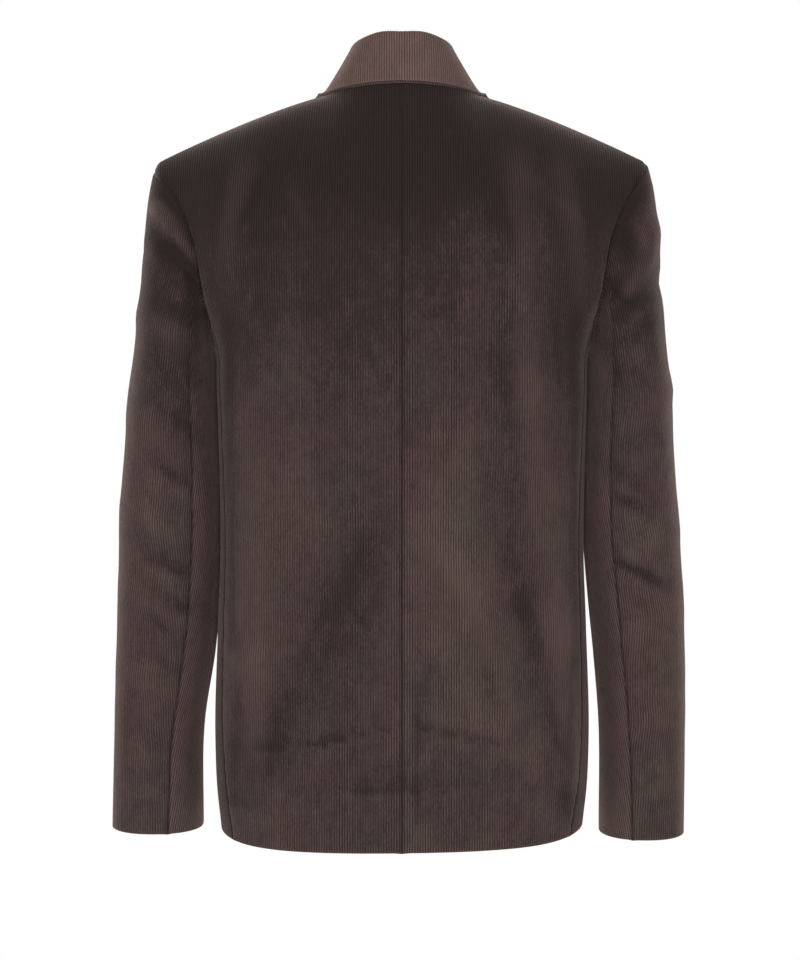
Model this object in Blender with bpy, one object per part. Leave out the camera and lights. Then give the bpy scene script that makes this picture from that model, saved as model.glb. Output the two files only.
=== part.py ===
"""Corduroy jacket, built as the closed cloth pieces of its cut, in metres, +Z up, front along -Y."""

import math

import bpy
import numpy as np
from mathutils import Vector
from mathutils.bvhtree import BVHTree

for thing in list(bpy.data.objects):
    bpy.data.objects.remove(thing, do_unlink=True)

# All the sizes below are in millimetres. Height 0 is the nape, side 0 is the centre back.
MM = 0.001
WALL = 2.0
COLLAR_WALL = 1.3
COLLAR_LAYER_GAP = 0.45
SEAM_INSET = 0.16

HEM = -727.0
SIDE_TOP = -232.0
ARMHOLE_DIP = 30.0
YOKE_ROW = -165.0

BODY_ROWS = 16
ARMHOLE_ROWS = 3
YOKE_ROWS = 7
YOKE_SMOOTHING = 3
SHOULDER_CELLS = 7
NECK_CELLS = 6
SIDE_CELLS = 4
NECK_SHARE = NECK_CELLS / (NECK_CELLS + SHOULDER_CELLS)

NECK_HALF_WIDTH = 72.0
NECK_BACK = 62.0
NECK_DROP = 12.0
SHOULDER_END = (236.0, 0.0, -75.5)
GORGE = (57.0, -52.0, -47.0)

BREAK_HEIGHT = -385.0
EDGE_PAST_CENTRE = 19.0
HEM_CUTAWAY = 62.0
FRONT_HEM_DROP = 10.0
UNDER_LAP_DEPTH = 7.5

# Level sections of the body: half widths, depths behind and in front of the shoulder line,
# and the turn in degrees from the centre back to the two side seams or the armhole edges.
SECTION_COLUMNS = ("height", "back_half", "front_half", "back_depth", "front_depth", "back_turn", "front_turn")
SECTIONS = (
    (-745.0, 174.0, 174.0, 115.0, 121.0, 64.0, 118.0),
    (-727.0, 175.5, 175.5, 116.0, 122.0, 64.0, 118.0),
    (-690.0, 179.5, 179.5, 117.5, 123.5, 65.5, 118.0),
    (-640.0, 181.5, 181.5, 118.0, 124.5, 68.0, 117.0),
    (-530.0, 179.0, 179.0, 114.0, 124.0, 71.0, 115.0),
    (-450.0, 176.5, 176.5, 109.5, 122.0, 72.0, 112.0),
    (-400.0, 177.0, 177.0, 110.5, 122.0, 73.0, 110.0),
    (-349.0, 178.5, 178.5, 113.5, 123.5, 74.0, 108.0),
    (-300.0, 180.0, 180.0, 116.5, 125.0, 75.0, 106.0),
    (-262.0, 181.5, 181.5, 118.0, 125.5, 76.0, 104.5),
    (-232.0, 190.0, 186.5, 118.0, 125.0, 76.0, 103.8),
    (-195.0, 204.0, 192.5, 117.5, 124.0, 69.0, 110.3),
    (-165.0, 212.0, 196.0, 116.0, 121.5, 66.7, 113.0),
)
SECTION_ROUNDNESS = 2.4

# Leaving directions of the cloth below the top edge, from the centre back to the shoulder end
# for the back, and from the shoulder end to the gorge for the front.
BACK_TOP_LEAVES = ((0.0, 0, 28, -33), (0.3, 2, 34, -22), (0.46, 4, 40, -9), (0.7, 0, 50, -8), (1.0, -1, 31, -14))
FRONT_TOP_LEAVES = ((0.0, -2, -30, -15), (0.3, 0, -48, -12), (0.54, 5, -38, -16), (1.0, -4, -24, -40))

# Level rings of the sleeve, from the top of the arm down to the cuff.
RING_COLUMNS = ("height", "forward", "half_depth", "left_side", "left_half", "right_side", "right_half")
RINGS = (
    (-300.0, -14.0, 71.0, 224.5, 43.4, 222.5, 41.4),
    (-349.0, -20.0, 69.0, 225.3, 46.4, 222.7, 43.7),
    (-410.0, -24.0, 66.0, 227.0, 50.0, 224.2, 46.6),
    (-505.0, -26.0, 61.5, 229.7, 50.2, 230.5, 46.5),
    (-560.0, -26.0, 59.0, 233.3, 48.3, 234.0, 44.6),
    (-625.0, -27.0, 56.0, 239.2, 44.1, 236.8, 42.2),
    (-735.0, -32.0, 52.0, 241.7, 44.6, 237.0, 41.5),
)
CUFFS = {"left": -731.0, "right": -737.0}
RING_ROUNDNESS = 2.15
SLEEVE_ROWS = 15
CAP_ROWS = 7
ELBOW_TURN = ((-728.0, 108.0), (-603.0, 114.0), (-410.0, 119.0), (-300.0, 118.0))
FOREARM_TURN = -121.0
ELBOW_SEAM_ROW = 2
FOREARM_SEAM_ROW = 1

# Guides of the collar from the centre back to its front end: the middle of the fold and the edge.
COLLAR_COLUMNS = ("share", "fold_x", "fold_y", "fold_z", "edge_x", "edge_y", "edge_z", "roll")
COLLAR_GUIDES = (
    (0.00, 0.0, 58.0, 36.3, 0.0, 71.0, -6.0, 5.0),
    (0.15, 19.0, 55.5, 36.5, 25.0, 68.5, -6.6, 5.0),
    (0.30, 35.0, 43.0, 33.0, 55.0, 55.0, -9.0, 4.8),
    (0.45, 44.5, 25.0, 29.0, 73.5, 31.0, -12.0, 4.6),
    (0.60, 47.5, 0.0, 22.5, 87.5, 0.0, -14.0, 4.4),
    (0.80, 52.0, -32.0, -8.0, 99.0, -28.0, -32.0, 4.4),
    (1.00, 54.3, -53.3, -44.6, 113.0, -62.0, -63.0, 3.8),
)
NECK_SIDE_SHARE = 0.6
COLLAR_CELLS = 30
COLLAR_CLEAR = 1.65
COLLAR_SMOOTHING = 3
STAND_CELLS = 3
ROLL_CELLS = 5
FALL_CELLS = 5
UNDER_COLLAR_SHOWS = 2.0
NOTCH = (96.5, -80.5)
NOTCH_SHARE = 0.6

LAPEL_TIP = (129.0, -110.0)
LAPEL_BELLY = ((22.0, -335.0), (104.0, -225.0))
LAPEL_TOP_GAP = 1.4
LAPEL_CELLS = 6
LAPEL_ROLL = 2.5
LAPEL_GAP = 0.9
LAPEL_SPRING = 3.5

BUTTON_HEIGHTS = (("button_upper", -400.0), ("button_lower", -505.0))
BUTTON_RADIUS = 10.0
BUTTON_THICKNESS = 3.6
BUTTON_GAP = 0.6
BUTTON_SIDES = 20

# Soft folds as straight runs: start side and height, end side and height, half width, depth.
FOLD_COLUMNS = ("x0", "z0", "x1", "z1", "half", "depth")
BACK_FOLDS = (
    (-109, -99, -118, -300, 16, 2.2),
    (-118, -300, -144, -525, 16, 2.6),
    (-144, -525, -155, -660, 14, 2.6),
    (-88, -150, -82, -400, 15, -2.4),
    (-86, -400, -140, -690, 15, -3.0),
    (104, -170, 132, -330, 16, -1.4),
    (143, -330, 142, -560, 16, 2.4),
    (140, -560, 128, -690, 14, 2.6),
    (20, -430, 70, -520, 18, -2.0),
    (70, -520, 122, -690, 18, -2.8),
    (-10, -433, -60, -495, 15, 2.2),
    (-60, -495, -109, -600, 15, 2.0),
    (150, -100, 176, -190, 13, 2.0),
    (-150, -100, -172, -200, 13, 2.0),
)
FRONT_FOLDS = (
    (120, -230, 134, -420, 18, 2.2),
    (134, -420, 128, -640, 18, 2.4),
    (60, -430, 92, -640, 17, -2.2),
    (-124, -240, -132, -450, 18, 2.2),
    (-132, -450, -122, -650, 17, 2.6),
    (-56, -440, -88, -640, 17, -2.0),
)
LEFT_SLEEVE_FOLDS = (
    (243, -131, 192, -188, 10, 3.4),
    (244, -149, 196, -206, 9, -2.8),
    (250, -230, 206, -262, 12, 1.8),
    (256, -330, 216, -372, 12, 1.6),
    (229, -384, 200, -399, 10, -1.6),
    (266, -420, 226, -446, 12, 1.5),
    (229, -474, 205, -486, 10, -1.8),
    (262, -500, 214, -528, 12, 1.8),
    (258, -580, 214, -604, 14, 1.4),
    (250, -650, 206, -668, 14, -1.2),
)
RIGHT_SLEEVE_FOLDS = (
    (-232, -96, -205, -150, 9, -2.4),
    (-243, -150, -220, -200, 10, 3.2),
    (-252, -196, -214, -232, 9, -2.4),
    (-256, -300, -212, -338, 12, 1.8),
    (-203, -408, -228, -420, 10, -1.6),
    (-264, -440, -222, -462, 12, 1.6),
    (-212, -474, -250, -492, 10, -1.8),
    (-262, -520, -216, -548, 12, 1.6),
    (-187, -542, -206, -658, 10, -1.6),
    (-256, -620, -216, -640, 14, 1.4),
)
SOLID_FOLD_HALF = 9.0

CLOTH = (0.060, 0.040, 0.034, 1.0)
COLLAR_CLOTH = (0.105, 0.070, 0.061, 1.0)
BUTTON_BROWN = (0.035, 0.020, 0.014, 1.0)


def smooth_at(keys, values, at):
    """Values of a smooth curve through the keys, rising keys only, held straight past the ends."""
    keys = np.asarray(keys, float)
    values = np.asarray(values, float)
    at = np.atleast_1d(np.asarray(at, float))
    slopes = np.gradient(values, keys, axis=0)
    i = np.clip(np.searchsorted(keys, at) - 1, 0, len(keys) - 2)
    step = keys[i + 1] - keys[i]
    t = (at - keys[i]) / step
    shape = (-1,) + (1,) * (values.ndim - 1)
    t = t.reshape(shape)
    step = step.reshape(shape)
    inside = np.clip(t, 0.0, 1.0)
    square = inside * inside
    cube = square * inside
    out = (2 * cube - 3 * square + 1) * values[i] + (cube - 2 * square + inside) * step * slopes[i]
    out = out + (3 * square - 2 * cube) * values[i + 1] + (cube - square) * step * slopes[i + 1]
    return out + np.where(t < 0, t, np.where(t > 1, t - 1, 0)) * step * np.where(t < 0, slopes[i], slopes[i + 1])


SECTION_TABLE = np.array(SECTIONS, float)
RING_TABLE = np.array(RINGS, float)[::-1]
COLLAR_TABLE = np.array(COLLAR_GUIDES, float)


def section_sizes(height):
    row = smooth_at(SECTION_TABLE[:, 0], SECTION_TABLE[:, 1:], height)[0]
    return dict(zip(SECTION_COLUMNS[1:], row))


def section_points(height, start_turn, end_turn, count=90):
    """Fine points of a level section between two turns, in degrees from the centre back."""
    size = section_sizes(height)
    turns = np.radians(np.linspace(start_turn, end_turn, count))
    power = 2.0 / SECTION_ROUNDNESS
    behind = np.cos(turns) >= 0
    half = np.where(behind, size["back_half"], size["front_half"])
    depth = np.where(behind, size["back_depth"], size["front_depth"])
    x = half * np.sign(np.sin(turns)) * np.abs(np.sin(turns)) ** power
    y = depth * np.sign(np.cos(turns)) * np.abs(np.cos(turns)) ** power
    return np.stack([x, y, np.full(count, float(height))], 1)


def even_points(line, shares):
    """Points on a line of fine points, at shares of its length."""
    along = np.concatenate([[0.0], np.cumsum(np.linalg.norm(np.diff(line, axis=0), axis=1))])
    where = np.asarray(shares, float) * along[-1]
    return np.stack([np.interp(where, along, line[:, k]) for k in range(3)], 1)


def turn_at_side(height, side):
    """Turn of the front part of a level section where it passes a given side."""
    size = section_sizes(height)
    share = min(abs(side) / size["front_half"], 1.0) ** (SECTION_ROUNDNESS / 2.0)
    return 180.0 - math.copysign(math.degrees(math.asin(share)), side)


def roll_side(height):
    """Side of the roll line at a height between the break and the gorge."""
    share = (height - BREAK_HEIGHT) / (GORGE[2] - BREAK_HEIGHT)
    return -EDGE_PAST_CENTRE + (GORGE[0] + EDGE_PAST_CENTRE) * share


def front_edge_side(height):
    """Side of the front panel's inner edge: straight, rounded away at the hem, then the roll line."""
    if height > BREAK_HEIGHT:
        return roll_side(height)
    low = max(0.0, (-600.0 - height) / (-600.0 - HEM + FRONT_HEM_DROP))
    return -EDGE_PAST_CENTRE + HEM_CUTAWAY * low**3.2


def neck_line(share):
    """Points on the neck seam, from the nape over the neck side to the gorge."""
    share = np.atleast_1d(np.asarray(share, float))
    turn = np.clip(share / NECK_SIDE_SHARE, 0, 1) * math.pi / 2
    behind = np.stack([NECK_HALF_WIDTH * np.sin(turn), NECK_BACK * np.cos(turn), -NECK_DROP * np.sin(turn) ** 3], 1)
    t = np.clip((share - NECK_SIDE_SHARE) / (1 - NECK_SIDE_SHARE), 0, 1)[:, None]
    ends = np.array([(NECK_HALF_WIDTH, 0, -NECK_DROP), (72.5, -22, -15.5), (65, -42, -33), GORGE], float)
    ahead = (1 - t) ** 3 * ends[0] + 3 * t * (1 - t) ** 2 * ends[1] + 3 * t**2 * (1 - t) * ends[2] + t**3 * ends[3]
    return np.where(share[:, None] <= NECK_SIDE_SHARE, behind, ahead)


def shoulder_line(share):
    """Points on the shoulder seam, from the neck side to the shoulder end."""
    share = np.atleast_1d(np.asarray(share, float))[:, None]
    start = np.array([NECK_HALF_WIDTH, 0.0, -NECK_DROP])
    end = np.array(SHOULDER_END)
    droop = -1.2 * share**9 + 3.9 * np.sin(math.pi * share**0.75)
    return start + (end - start) * share + droop * np.array([0.0, 0.0, 1.0])


def back_top(shares):
    shares = np.asarray(shares, float)
    neck = neck_line(np.clip(shares / NECK_SHARE, 0, 1) * NECK_SIDE_SHARE)
    shoulder = shoulder_line(np.clip((shares - NECK_SHARE) / (1 - NECK_SHARE), 0, 1))
    return np.where(shares[:, None] <= NECK_SHARE, neck, shoulder)


def front_top(shares):
    shares = np.asarray(shares, float)
    shoulder = shoulder_line(np.clip(1 - shares / (1 - NECK_SHARE), 0, 1))
    neck_share = np.clip((shares - 1 + NECK_SHARE) / NECK_SHARE, 0, 1)
    neck = neck_line(NECK_SIDE_SHARE + (1 - NECK_SIDE_SHARE) * neck_share)
    return np.where(shares[:, None] <= 1 - NECK_SHARE, shoulder, neck)


def back_level(height, shares):
    return even_points(section_points(height, 0.0, section_sizes(height)["back_turn"]), shares)


def front_level(height, shares):
    end = turn_at_side(height, front_edge_side(height))
    return even_points(section_points(height, section_sizes(height)["front_turn"], end), shares)


def yoke(level, top, leaves, shares, t):
    """Cloth above the yoke row: each column bends from the row below up to the top edge."""
    base = level(YOKE_ROW, shares)
    slope = base - level(YOKE_ROW - 2.0, shares)
    slope = slope / 2.0
    end = top(shares)
    keys = np.array(leaves, float)
    leave = smooth_at(keys[:, 0], keys[:, 1:], shares)
    rise = 0.4 * (end[:, 2:3] - base[:, 2:3])
    first = base + slope * rise
    second = end + leave
    return (1 - t) ** 3 * base + 3 * t * (1 - t) ** 2 * first + 3 * t * t * (1 - t) * second + t**3 * end


def level_heights():
    low = np.linspace(HEM, SIDE_TOP, BODY_ROWS + 1)
    high = np.linspace(SIDE_TOP, YOKE_ROW, ARMHOLE_ROWS + 1)[1:]
    return np.concatenate([low, high])


def softened_yoke(grid, across):
    """Evens out the rows between the yoke and the top, where across is above 0."""
    t = np.clip((np.arange(len(grid)) - (len(grid) - 1 - YOKE_ROWS)) / YOKE_ROWS, 0, 1)
    down = ease(t / 0.3) * ease((1 - t) / 0.15)
    weight = 0.5 * down[:, None, None] * across[None, :, None]
    for again in range(YOKE_SMOOTHING):
        first = grid[:, 1:2] * np.array([-1.0, 1.0, 1.0])
        before = np.concatenate([first, grid[:, :-1]], 1)
        after = np.concatenate([grid[:, 1:], grid[:, -1:]], 1)
        grid = grid + weight * ((before + after) / 2 - grid)
    return grid


def back_grid():
    shares = np.linspace(0, 1, NECK_CELLS + SHOULDER_CELLS + 1)
    rows = [back_level(z, shares) for z in level_heights()]
    rows += [yoke(back_level, back_top, BACK_TOP_LEAVES, shares, t) for t in np.linspace(0, 1, YOKE_ROWS + 1)[1:]]
    return softened_yoke(np.array(rows), ease((0.75 - shares) / 0.25))


def front_grid():
    shares = np.linspace(0, 1, NECK_CELLS + SHOULDER_CELLS + 1)
    rows = [front_level(z, shares) for z in level_heights()]
    rows += [yoke(front_level, front_top, FRONT_TOP_LEAVES, shares, t) for t in np.linspace(0, 1, YOKE_ROWS + 1)[1:]]
    grid = softened_yoke(np.array(rows), ease((shares - 0.25) / 0.25) * ease((1 - shares) / 0.2))
    below = np.clip((-560.0 - grid[:, :, 2]) / (-560.0 - HEM), 0, 1) ** 2
    grid[:, :, 2] -= FRONT_HEM_DROP * below * shares[None, :] ** 2
    return grid


def side_grid():
    shares = np.linspace(0, 1, SIDE_CELLS + 1)
    rows = []
    for z in level_heights()[: BODY_ROWS + 1]:
        dip = ARMHOLE_DIP * 4 * shares * (1 - shares)
        dip = dip * np.clip((z - SIDE_TOP + 150.0) / 150.0, 0, 1) ** 1.5
        row = []
        for share, lower in zip(shares, dip):
            size = section_sizes(z - lower)
            line = section_points(z - lower, size["back_turn"], size["front_turn"])
            row.append(even_points(line, [share])[0])
        rows.append(row)
    return np.array(rows)


def ring_points(height, turns, side):
    """Points of a level sleeve ring at turns in degrees, from the outside towards the back."""
    row = dict(zip(RING_COLUMNS[1:], smooth_at(RING_TABLE[:, 0], RING_TABLE[:, 1:], height)[0]))
    turns = np.radians(np.asarray(turns, float))
    power = 2.0 / RING_ROUNDNESS
    x = row[side + "_side"] + row[side + "_half"] * np.sign(np.cos(turns)) * np.abs(np.cos(turns)) ** power
    y = row["forward"] + row["half_depth"] * np.sign(np.sin(turns)) * np.abs(np.sin(turns)) ** power
    return np.stack([x, y, np.full(len(turns), float(height))], 1)


def elbow_turn(height):
    keys = np.array(ELBOW_TURN)
    return float(smooth_at(keys[:, 0], keys[:, 1], height)[0])


def sleeve_grid(edge, start_turn, end_turn, side):
    """Sleeve piece whose top follows the armhole points in edge, between two seams."""
    top = RINGS[0][0]
    shares = np.linspace(0, 1, len(edge))
    rows = []
    for z in np.linspace(CUFFS[side], top, SLEEVE_ROWS + 1):
        rows.append(ring_points(z, start_turn(z) + (end_turn(z) - start_turn(z)) * shares, side))
    turns = start_turn(top) + (end_turn(top) - start_turn(top)) * shares
    ring = rows[-1]
    slope = (ring_points(top, turns, side) - ring_points(top - 4.0, turns, side)) / 4.0
    cosine = np.cos(np.radians(turns))
    sine = np.sin(np.radians(turns))
    height = (edge[:, 2] - top)[:, None]
    outward = np.stack([(cosine + 1.3) / 1.7, sine / 1.7, np.zeros(len(turns))], 1)
    leave = outward * (4.0 + 0.04 * height) - np.array([0.0, 0.0, 1.0]) * (0.04 * height + 3.0)
    first = edge + leave
    second = ring + slope * 0.40 * height - np.stack([np.maximum(cosine, 0) * 10.5, cosine * 0, cosine * 0], 1)
    for t in np.linspace(0, 1, CAP_ROWS + 1)[1:]:
        across = t**0.9
        point = (1 - across) ** 3 * ring + 3 * across * (1 - across) ** 2 * second
        rows.append(point + 3 * across**2 * (1 - across) * first + across**3 * edge)
    return np.array(rows)


def normals_of(grid):
    across = np.gradient(grid, axis=1)
    along = np.gradient(grid, axis=0)
    out = np.cross(along, across)
    return out / np.maximum(np.linalg.norm(out, axis=2), 1e-9)[:, :, None]


def mirrored(grid):
    return grid[:, ::-1] * np.array([-1.0, 1.0, 1.0])


def fold_depth(points, folds, least_half):
    """Depth of the soft folds at points, from their side and height."""
    depth = np.zeros(points.shape[:-1])
    for x0, z0, x1, z1, half, deep in folds:
        if half < least_half:
            continue
        run = np.array([x1 - x0, z1 - z0], float)
        length = np.linalg.norm(run)
        run = run / length
        dx = points[..., 0] - x0
        dz = points[..., 2] - z0
        along = dx * run[0] + dz * run[1]
        across = -dx * run[1] + dz * run[0]
        past = np.maximum(np.maximum(-along, along - length), 0)
        depth = depth + deep * np.exp(-((across / half) ** 2) - (past / (1.6 * half)) ** 2)
    return depth


def ease(value):
    value = np.clip(value, 0, 1)
    return value * value * (3 - 2 * value)


def folds_on(name, points):
    """Fold depth on a body or sleeve piece, soft at the seams that join the sleeves."""
    if "sleeve" in name:
        folds = LEFT_SLEEVE_FOLDS if name.endswith("left") else RIGHT_SLEEVE_FOLDS
        other = RIGHT_SLEEVE_FOLDS if name.endswith("left") else LEFT_SLEEVE_FOLDS
        heights = points[..., 2].ravel()
        middle = smooth_at(RING_TABLE[:, 0], RING_TABLE[:, 3], heights).reshape(points.shape[:-1])
        outer = ease((np.abs(points[..., 0]) - middle + 36.0) / 22.0)
        behind = ease((points[..., 1] + 60.0) / 90.0)
        swapped = points * np.array([-1.0, 1.0, 1.0])
        depth = fold_depth(points, folds, SOLID_FOLD_HALF) * behind
        depth = depth + 0.8 * fold_depth(swapped, other, SOLID_FOLD_HALF) * (1 - behind)
        low = ease((points[..., 2] + 737.0) / 60.0)
        cap = ease((len(points) - 1 - np.arange(len(points))) / 2.5)
        return depth * outer * low * cap[:, None]
    behind = ease((points[..., 1] + 12.0) / 24.0)
    depth = fold_depth(points, BACK_FOLDS, SOLID_FOLD_HALF) * behind
    depth = depth + fold_depth(points, FRONT_FOLDS, SOLID_FOLD_HALF) * (1 - behind)
    return depth * ease((178.0 - np.abs(points[..., 0])) / 18.0)


def under_lap(points):
    """Inward set of the right front where the left front lies over it."""
    near = ease((78.0 - points[..., 0] * -1.0) / 46.0) * ease((-225.0 - points[..., 2]) / 60.0)
    return -UNDER_LAP_DEPTH * near


def key_of(point):
    return tuple(np.round(point, 2) + 0.0)


def inward_of(grid):
    """Directions from each edge point into its piece, summed at the corners."""
    inward = np.zeros(grid.shape)
    for here, within in ((0, 1), (-1, -2)):
        inward[:, here] += unit_rows(grid[:, within] - grid[:, here])
        inward[here] += unit_rows(grid[within] - grid[here])
    return inward


def unit_rows(vectors):
    return vectors / np.maximum(np.linalg.norm(vectors, axis=1), 1e-9)[:, None]


def settled(panels):
    """Shared normals where pieces meet, then folds, then a small inset at every edge."""
    meeting = {}
    normals = {}
    inward = {}
    scale = {}
    for name, grid in panels.items():
        normals[name] = normals_of(grid)
        inward[name] = inward_of(grid)
        scale[name] = np.ones(grid.shape[:2])
        rows, columns = grid.shape[:2]
        for r in range(rows):
            for c in range(columns):
                if r in (0, rows - 1) or c in (0, columns - 1):
                    meeting.setdefault(key_of(grid[r, c]), []).append((name, r, c))
    inset = {name: SEAM_INSET * vectors for name, vectors in inward.items()}
    for places in meeting.values():
        if len(places) < 2:
            continue
        mean = unit(sum(normals[name][r, c] + unit(inward[name][r, c]) for name, r, c in places))
        lean = np.mean([np.dot(mean, normals[name][r, c]) for name, r, c in places])
        total = sum(inward[name][r, c] for name, r, c in places)
        for name, r, c in places:
            mine = inward[name][r, c]
            others = (total - mine) / (len(places) - 1)
            inset[name][r, c] = SEAM_INSET * unit(mine - others) * (1.0 if len(places) == 2 else 1.5)
        for name, r, c in places:
            normals[name][r, c] = mean
            scale[name][r, c] = 1 / max(lean, 0.75)
    outer = {}
    for name, grid in panels.items():
        depth = folds_on(name, grid)
        if name == "front_right":
            depth = depth + under_lap(grid)
        outer[name] = grid + normals[name] * depth[:, :, None] + inset[name]
    return outer, normals, scale


def rank(point):
    """Order of two edge points, so that both pieces of a seam split their edges alike."""
    return point[2] * 1.0 + abs(point[0]) * 0.13 + point[1] * 0.07


def cloth(name, outer, inner, colour):
    """Closed solid between an outer and an inner grid of the same size."""
    rows, columns = outer.shape[:2]
    points = np.concatenate([outer.reshape(-1, 3), inner.reshape(-1, 3)])
    points = (points - np.array([0.0, NECK_BACK, 0.0])) * MM
    count = rows * columns

    def at(r, c, side):
        return side * count + r * columns + c

    faces = []
    for r in range(rows - 1):
        for c in range(columns - 1):
            for ring in ([(r, c), (r + 1, c), (r + 1, c + 1)], [(r, c), (r + 1, c + 1), (r, c + 1)]):
                faces.append([at(*p, 0) for p in ring])
                faces.append([at(*p, 1) for p in reversed(ring)])
    border = [(0, c) for c in range(columns - 1)]
    border += [(r, columns - 1) for r in range(rows - 1)]
    border += [(rows - 1, c) for c in range(columns - 1, 0, -1)]
    border += [(r, 0) for r in range(rows - 1, 0, -1)]
    for here, there in zip(border, border[1:] + border[:1]):
        a, b, c, d = at(*here, 0), at(*there, 0), at(*there, 1), at(*here, 1)
        if rank(outer[here]) > rank(outer[there]):
            faces += [(a, b, c), (a, c, d)]
        else:
            faces += [(a, b, d), (b, c, d)]
    return add_object(name, points, faces, colour)


def add_object(name, points, faces, colour):
    mesh = bpy.data.meshes.new(name)
    mesh.from_pydata([tuple(p) for p in points], [], faces)
    mesh.validate()
    mesh.update()
    material = bpy.data.materials.new(name + "_material")
    material.use_nodes = True
    shader = material.node_tree.nodes["Principled BSDF"]
    shader.inputs["Base Color"].default_value = colour
    shader.inputs["Roughness"].default_value = 0.9
    mesh.materials.append(material)
    thing = bpy.data.objects.new(name, mesh)
    bpy.context.collection.objects.link(thing)
    return thing


def hem_shift(points):
    """Rise and fall of the hem, lowest at the left of the back and highest at the side seams."""
    x = points[..., 0]
    low = np.clip((-560.0 - points[..., 2]) / (-560.0 - HEM), 0, 1) ** 2
    return low * (-2.4 - 0.012 * x + 7.5 * np.clip(np.abs(x) / 178.0, 0, 1) ** 9)


def build_panels():
    back = back_grid()
    side = side_grid()
    front = front_grid()
    back_edge = back[BODY_ROWS:, -1]
    front_edge = front[BODY_ROWS:, 0]
    under_arm = side[-1]
    over = np.concatenate([back_edge[ELBOW_SEAM_ROW:], front_edge[FOREARM_SEAM_ROW:-1][::-1]])
    below = np.concatenate(
        [front_edge[: FOREARM_SEAM_ROW + 1][::-1], under_arm[1:-1][::-1], back_edge[: ELBOW_SEAM_ROW + 1]]
    )
    panels = {}
    for hand in ("left", "right"):
        grids = {
            "back": back,
            "side": side,
            "front": front,
            "top_sleeve": sleeve_grid(over, elbow_turn, lambda z: FOREARM_TURN, hand),
            "under_sleeve": sleeve_grid(below, lambda z: FOREARM_TURN, lambda z: elbow_turn(z) - 360.0, hand),
        }
        for name, grid in grids.items():
            grid = grid.copy() if hand == "left" else mirrored(grid)
            if "sleeve" not in name:
                grid[:, :, 2] += hem_shift(grid)
            panels[name + "_" + hand] = grid
    return panels


def surface_of(grids, grid_normals):
    """Search tree of the showing faces, with the corners and normals of each of its faces."""
    points = []
    normals = []
    faces = []
    for grid, turned in zip(grids, grid_normals):
        rows, columns = grid.shape[:2]
        base = len(points)
        points += [Vector(p) for p in grid.reshape(-1, 3)]
        normals += list(turned.reshape(-1, 3))
        for r in range(rows - 1):
            for c in range(columns - 1):
                a = base + r * columns + c
                faces.append((a, a + columns, a + columns + 1))
                faces.append((a, a + columns + 1, a + 1))
    return BVHTree.FromPolygons(points, faces), faces, np.array(points), np.array(normals)


def soft_normal(surface, face, spot):
    """Normal at a spot on a face, blended from the normals at its corners."""
    corners = list(surface[1][face])
    away = np.linalg.norm(surface[2][corners] - np.array(spot), axis=1)
    weights = 1.0 / (away**2 + 0.5)
    return unit((surface[3][corners] * weights[:, None]).sum(0))


def laid(surface, point, height, hold):
    """Point kept at least a height off the cloth near it, and drawn to that height by hold."""
    point = np.array(point, float)
    for again in range(4):
        spot, normal, face, reach = surface[0].find_nearest(Vector(point))
        if reach > 14.0 and hold < 0.9:
            return point
        gap = (Vector(point) - spot).dot(normal)
        wanted = max(height, gap + (height - gap) * hold)
        if again > 0:
            wanted = max(height, gap)
        away = soft_normal(surface, face, spot)
        point = point + away * (wanted - gap) / max(np.dot(away, normal), 0.6)
    return point


def unit(vector):
    return vector / max(np.linalg.norm(vector), 1e-9)


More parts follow.
